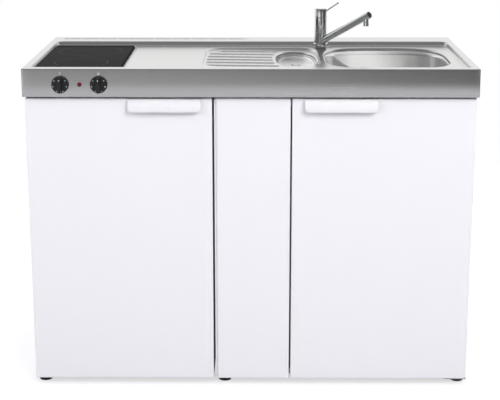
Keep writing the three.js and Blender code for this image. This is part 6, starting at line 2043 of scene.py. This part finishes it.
@dataclass
class Studio:
    """Floor, soft lamps, surroundings and camera.

    Attributes:
        camera_distance, camera_height, camera_x: The camera's place, in millimetres.
        camera_pitch, camera_yaw: How far it looks down and to the left, in degrees.
        camera_shift: Its lens shift, as a share of the picture's width.
        lens: Its focal length on a sensor of 36 mm.
        floor_radius: The floor's radius, in metres.
        floor_glow: Light of the floor that only the camera sees.
        low_front: What gloss meets low in front of the unit at the left.
        aside_front: The share of that which it meets at the right.
        high_front, over_front: What it meets in front at middle height and higher up.
        wall: What it meets behind the unit, high up and low down.
        ceiling: What it meets straight above.
        room, room_strength: Colour and strength of the light that isn't gloss.
    """

    camera_distance: float = 3300.0
    camera_height: float = 1433.3
    camera_x: float = 19.6
    camera_pitch: float = 13.854
    camera_yaw: float = 0.368
    camera_shift: float = -0.06
    lens: float = 92.24
    floor_radius: float = 2.6
    floor_glow: float = 0.63
    low_front: float = 0.38
    aside_front: float = 0.2
    high_front: float = 0.09
    over_front: float = 0.26
    wall: tuple[float, float] = (0.7, 1.03)
    ceiling: float = 0.4
    room: tuple[float, float, float, float] = (0.93, 0.915, 1.0, 1)
    room_strength: float = 0.6

    def _floor(self) -> None:
        """A pale round floor that keeps the unit's shadow."""
        material = bpy.data.materials.new("studio_floor")
        material.use_nodes = True
        material.node_tree.nodes.clear()
        sketch = Sketch(material.node_tree)
        place = sketch.add("ShaderNodeTexCoord").outputs["Object"]
        cloud = EFFECTS.place(sketch, Effect.MOTTLE, {
            "Vector": place, "Scale": 1.5, "Light": (0.5, 0.5, 0.505, 1), "Dark": (0.49, 0.49, 0.5, 1)})
        diffuse = sketch.add("ShaderNodeBsdfDiffuse", {"Color": cloud.outputs["Colour"]})
        glow = sketch.add("ShaderNodeEmission", {"Color": (1, 1, 1, 1), "Strength": self.floor_glow})
        path = sketch.add("ShaderNodeLightPath").outputs
        seen = sketch.reckon("MAXIMUM", path["Is Camera Ray"], path["Is Transmission Ray"])
        lit = sketch.add("ShaderNodeAddShader", {0: diffuse.outputs[0], 1: glow.outputs[0]})
        mix = sketch.add("ShaderNodeMixShader", {0: seen, 1: diffuse.outputs[0], 2: lit.outputs[0]})
        sketch.add("ShaderNodeOutputMaterial", {"Surface": mix.outputs[0]})
        mesh = bpy.data.meshes.new("studio_floor")
        shape = bmesh.new()
        bmesh.ops.create_circle(shape, cap_ends=True, radius=self.floor_radius, segments=96)
        shape.to_mesh(mesh)
        shape.free()
        mesh.materials.append(material)
        floor = bpy.data.objects.new("studio_floor", mesh)
        bpy.context.scene.collection.objects.link(floor)

    def _gloss(self, sketch: Sketch) -> Socket:
        """Draws what gloss meets in each direction: a dark front with two bright bands, a pale wall behind.

        Args:
            sketch: The world's tree.

        Returns:
            The grey level.
        """
        direction = sketch.add("ShaderNodeTexCoord").outputs["Generated"]
        axes = sketch.add("ShaderNodeSeparateXYZ", {0: direction}).outputs
        x, z = axes["X"], axes["Z"]

        def blend(share: Socket, first: object, second: object) -> Socket:
            """Blends two levels by a share."""
            return sketch.add("ShaderNodeMix", {0: share, 2: first, 3: second}, data_type="FLOAT").outputs[0]

        behind = sketch.spread(axes["Y"], -0.1, 0.45, 0.0, 1.0)
        aside = sketch.spread(x, -0.02, 0.16, 1.0, self.aside_front)
        left_band = sketch.reckon(
            "MULTIPLY", sketch.spread(x, -0.7, -0.62, 0.0, 1.0), sketch.spread(x, -0.48, -0.42, 1.0, 0.0))
        right_band = sketch.reckon(
            "MULTIPLY", sketch.spread(x, 0.38, 0.42, 0.0, 0.8), sketch.spread(x, 0.5, 0.54, 1.0, 0.0))
        bands = sketch.reckon("ADD", left_band, right_band)
        low_front = sketch.reckon("ADD", sketch.reckon("MULTIPLY", aside, self.low_front), bands)
        raised = blend(sketch.spread(z, -0.02, 0.12, 0.0, 1.0), low_front, self.high_front)
        front = blend(sketch.spread(z, 0.4, 0.55, 0.0, 1.0), raised, self.over_front)
        wall = sketch.spread(z, 0.3, 0.62, self.wall[1], self.wall[0])
        level = blend(behind, front, wall)
        return blend(sketch.spread(z, 0.8, 0.96, 0.0, 1.0), level, self.ceiling)

    def _surroundings(self) -> None:
        """White behind the unit for the camera, a soft studio for gloss, plain light for the rest."""
        world = bpy.data.worlds.new("studio")
        bpy.context.scene.world = world
        world.use_nodes = True
        world.node_tree.nodes.clear()
        sketch = Sketch(world.node_tree)
        level = self._gloss(sketch)
        colour = sketch.add("ShaderNodeCombineColor", {0: level, 1: level, 2: level}).outputs[0]
        studio = sketch.add("ShaderNodeBackground", {"Color": colour, "Strength": 1.0}).outputs[0]
        even = {"Color": self.room, "Strength": self.room_strength}
        plain = sketch.add("ShaderNodeBackground", even).outputs[0]
        white = sketch.add("ShaderNodeBackground", {"Color": (1, 1, 1, 1), "Strength": 1.0}).outputs[0]
        path = sketch.add("ShaderNodeLightPath").outputs
        gloss = sketch.add("ShaderNodeMixShader", {0: path["Is Glossy Ray"], 1: plain, 2: studio}).outputs[0]
        seen = sketch.reckon("MAXIMUM", path["Is Camera Ray"], path["Is Transmission Ray"])
        final = sketch.add("ShaderNodeMixShader", {0: seen, 1: gloss, 2: white}).outputs[0]
        sketch.add("ShaderNodeOutputWorld", {"Surface": final})

    def _camera(self) -> None:
        """The camera at the photograph's angle."""
        data = bpy.data.cameras.new("camera")
        data.sensor_width = 36
        data.lens = self.lens
        data.shift_y = self.camera_shift
        data.dof.use_dof = False
        camera = bpy.data.objects.new("camera", data)
        camera.location = at(self.camera_x, -self.camera_distance, self.camera_height)
        camera.rotation_euler = (math.radians(90 - self.camera_pitch), 0, math.radians(self.camera_yaw))
        bpy.context.scene.collection.objects.link(camera)
        bpy.context.scene.camera = camera

    def build(self) -> None:
        """Builds the studio and sets the view transform."""
        self._floor()
        self._surroundings()
        for lamp in LAMPS:
            lamp.build()
        self._camera()
        bpy.context.scene.view_settings.view_transform = "Standard"


def main() -> None:
    """Builds the unit's pieces and the studio."""
    logging.basicConfig(level=logging.INFO, format="%(message)s")
    Studio().build()
    Worktop().build()
    Bowls().build()
    Hob().build()
    Knob("left_knob", "knob_left", -498.0).build()
    Knob("right_knob", "knob_right", -397.0, zone_side=-1.2).build()
    PilotLamp().build()
    Tap().build()
    Front("fridge_front", "fridge_door_shell", "fridge_door", (-595, -102, 15, 55, 20.4, 809.4)).build()
    Front("fixed_front", "front_panel", "unit", (-90.6, 105.5, 15, 38.5, 20.4, 809.4)).build()
    FoldedEdge().build()
    Front("sink_front", "sink_door_skin", "sink_door", (110, 595, 15, 35, 20.4, 809.4)).build()
    Handle("fridge_lip_handle", "fridge_handle", "fridge_door", -227.5).build()
    Handle("sink_lip_handle", "sink_handle", "sink_door", 238.5).build()
    Condenser().build()
    FairCopies().build()


if __name__ == "__main__":
    main()
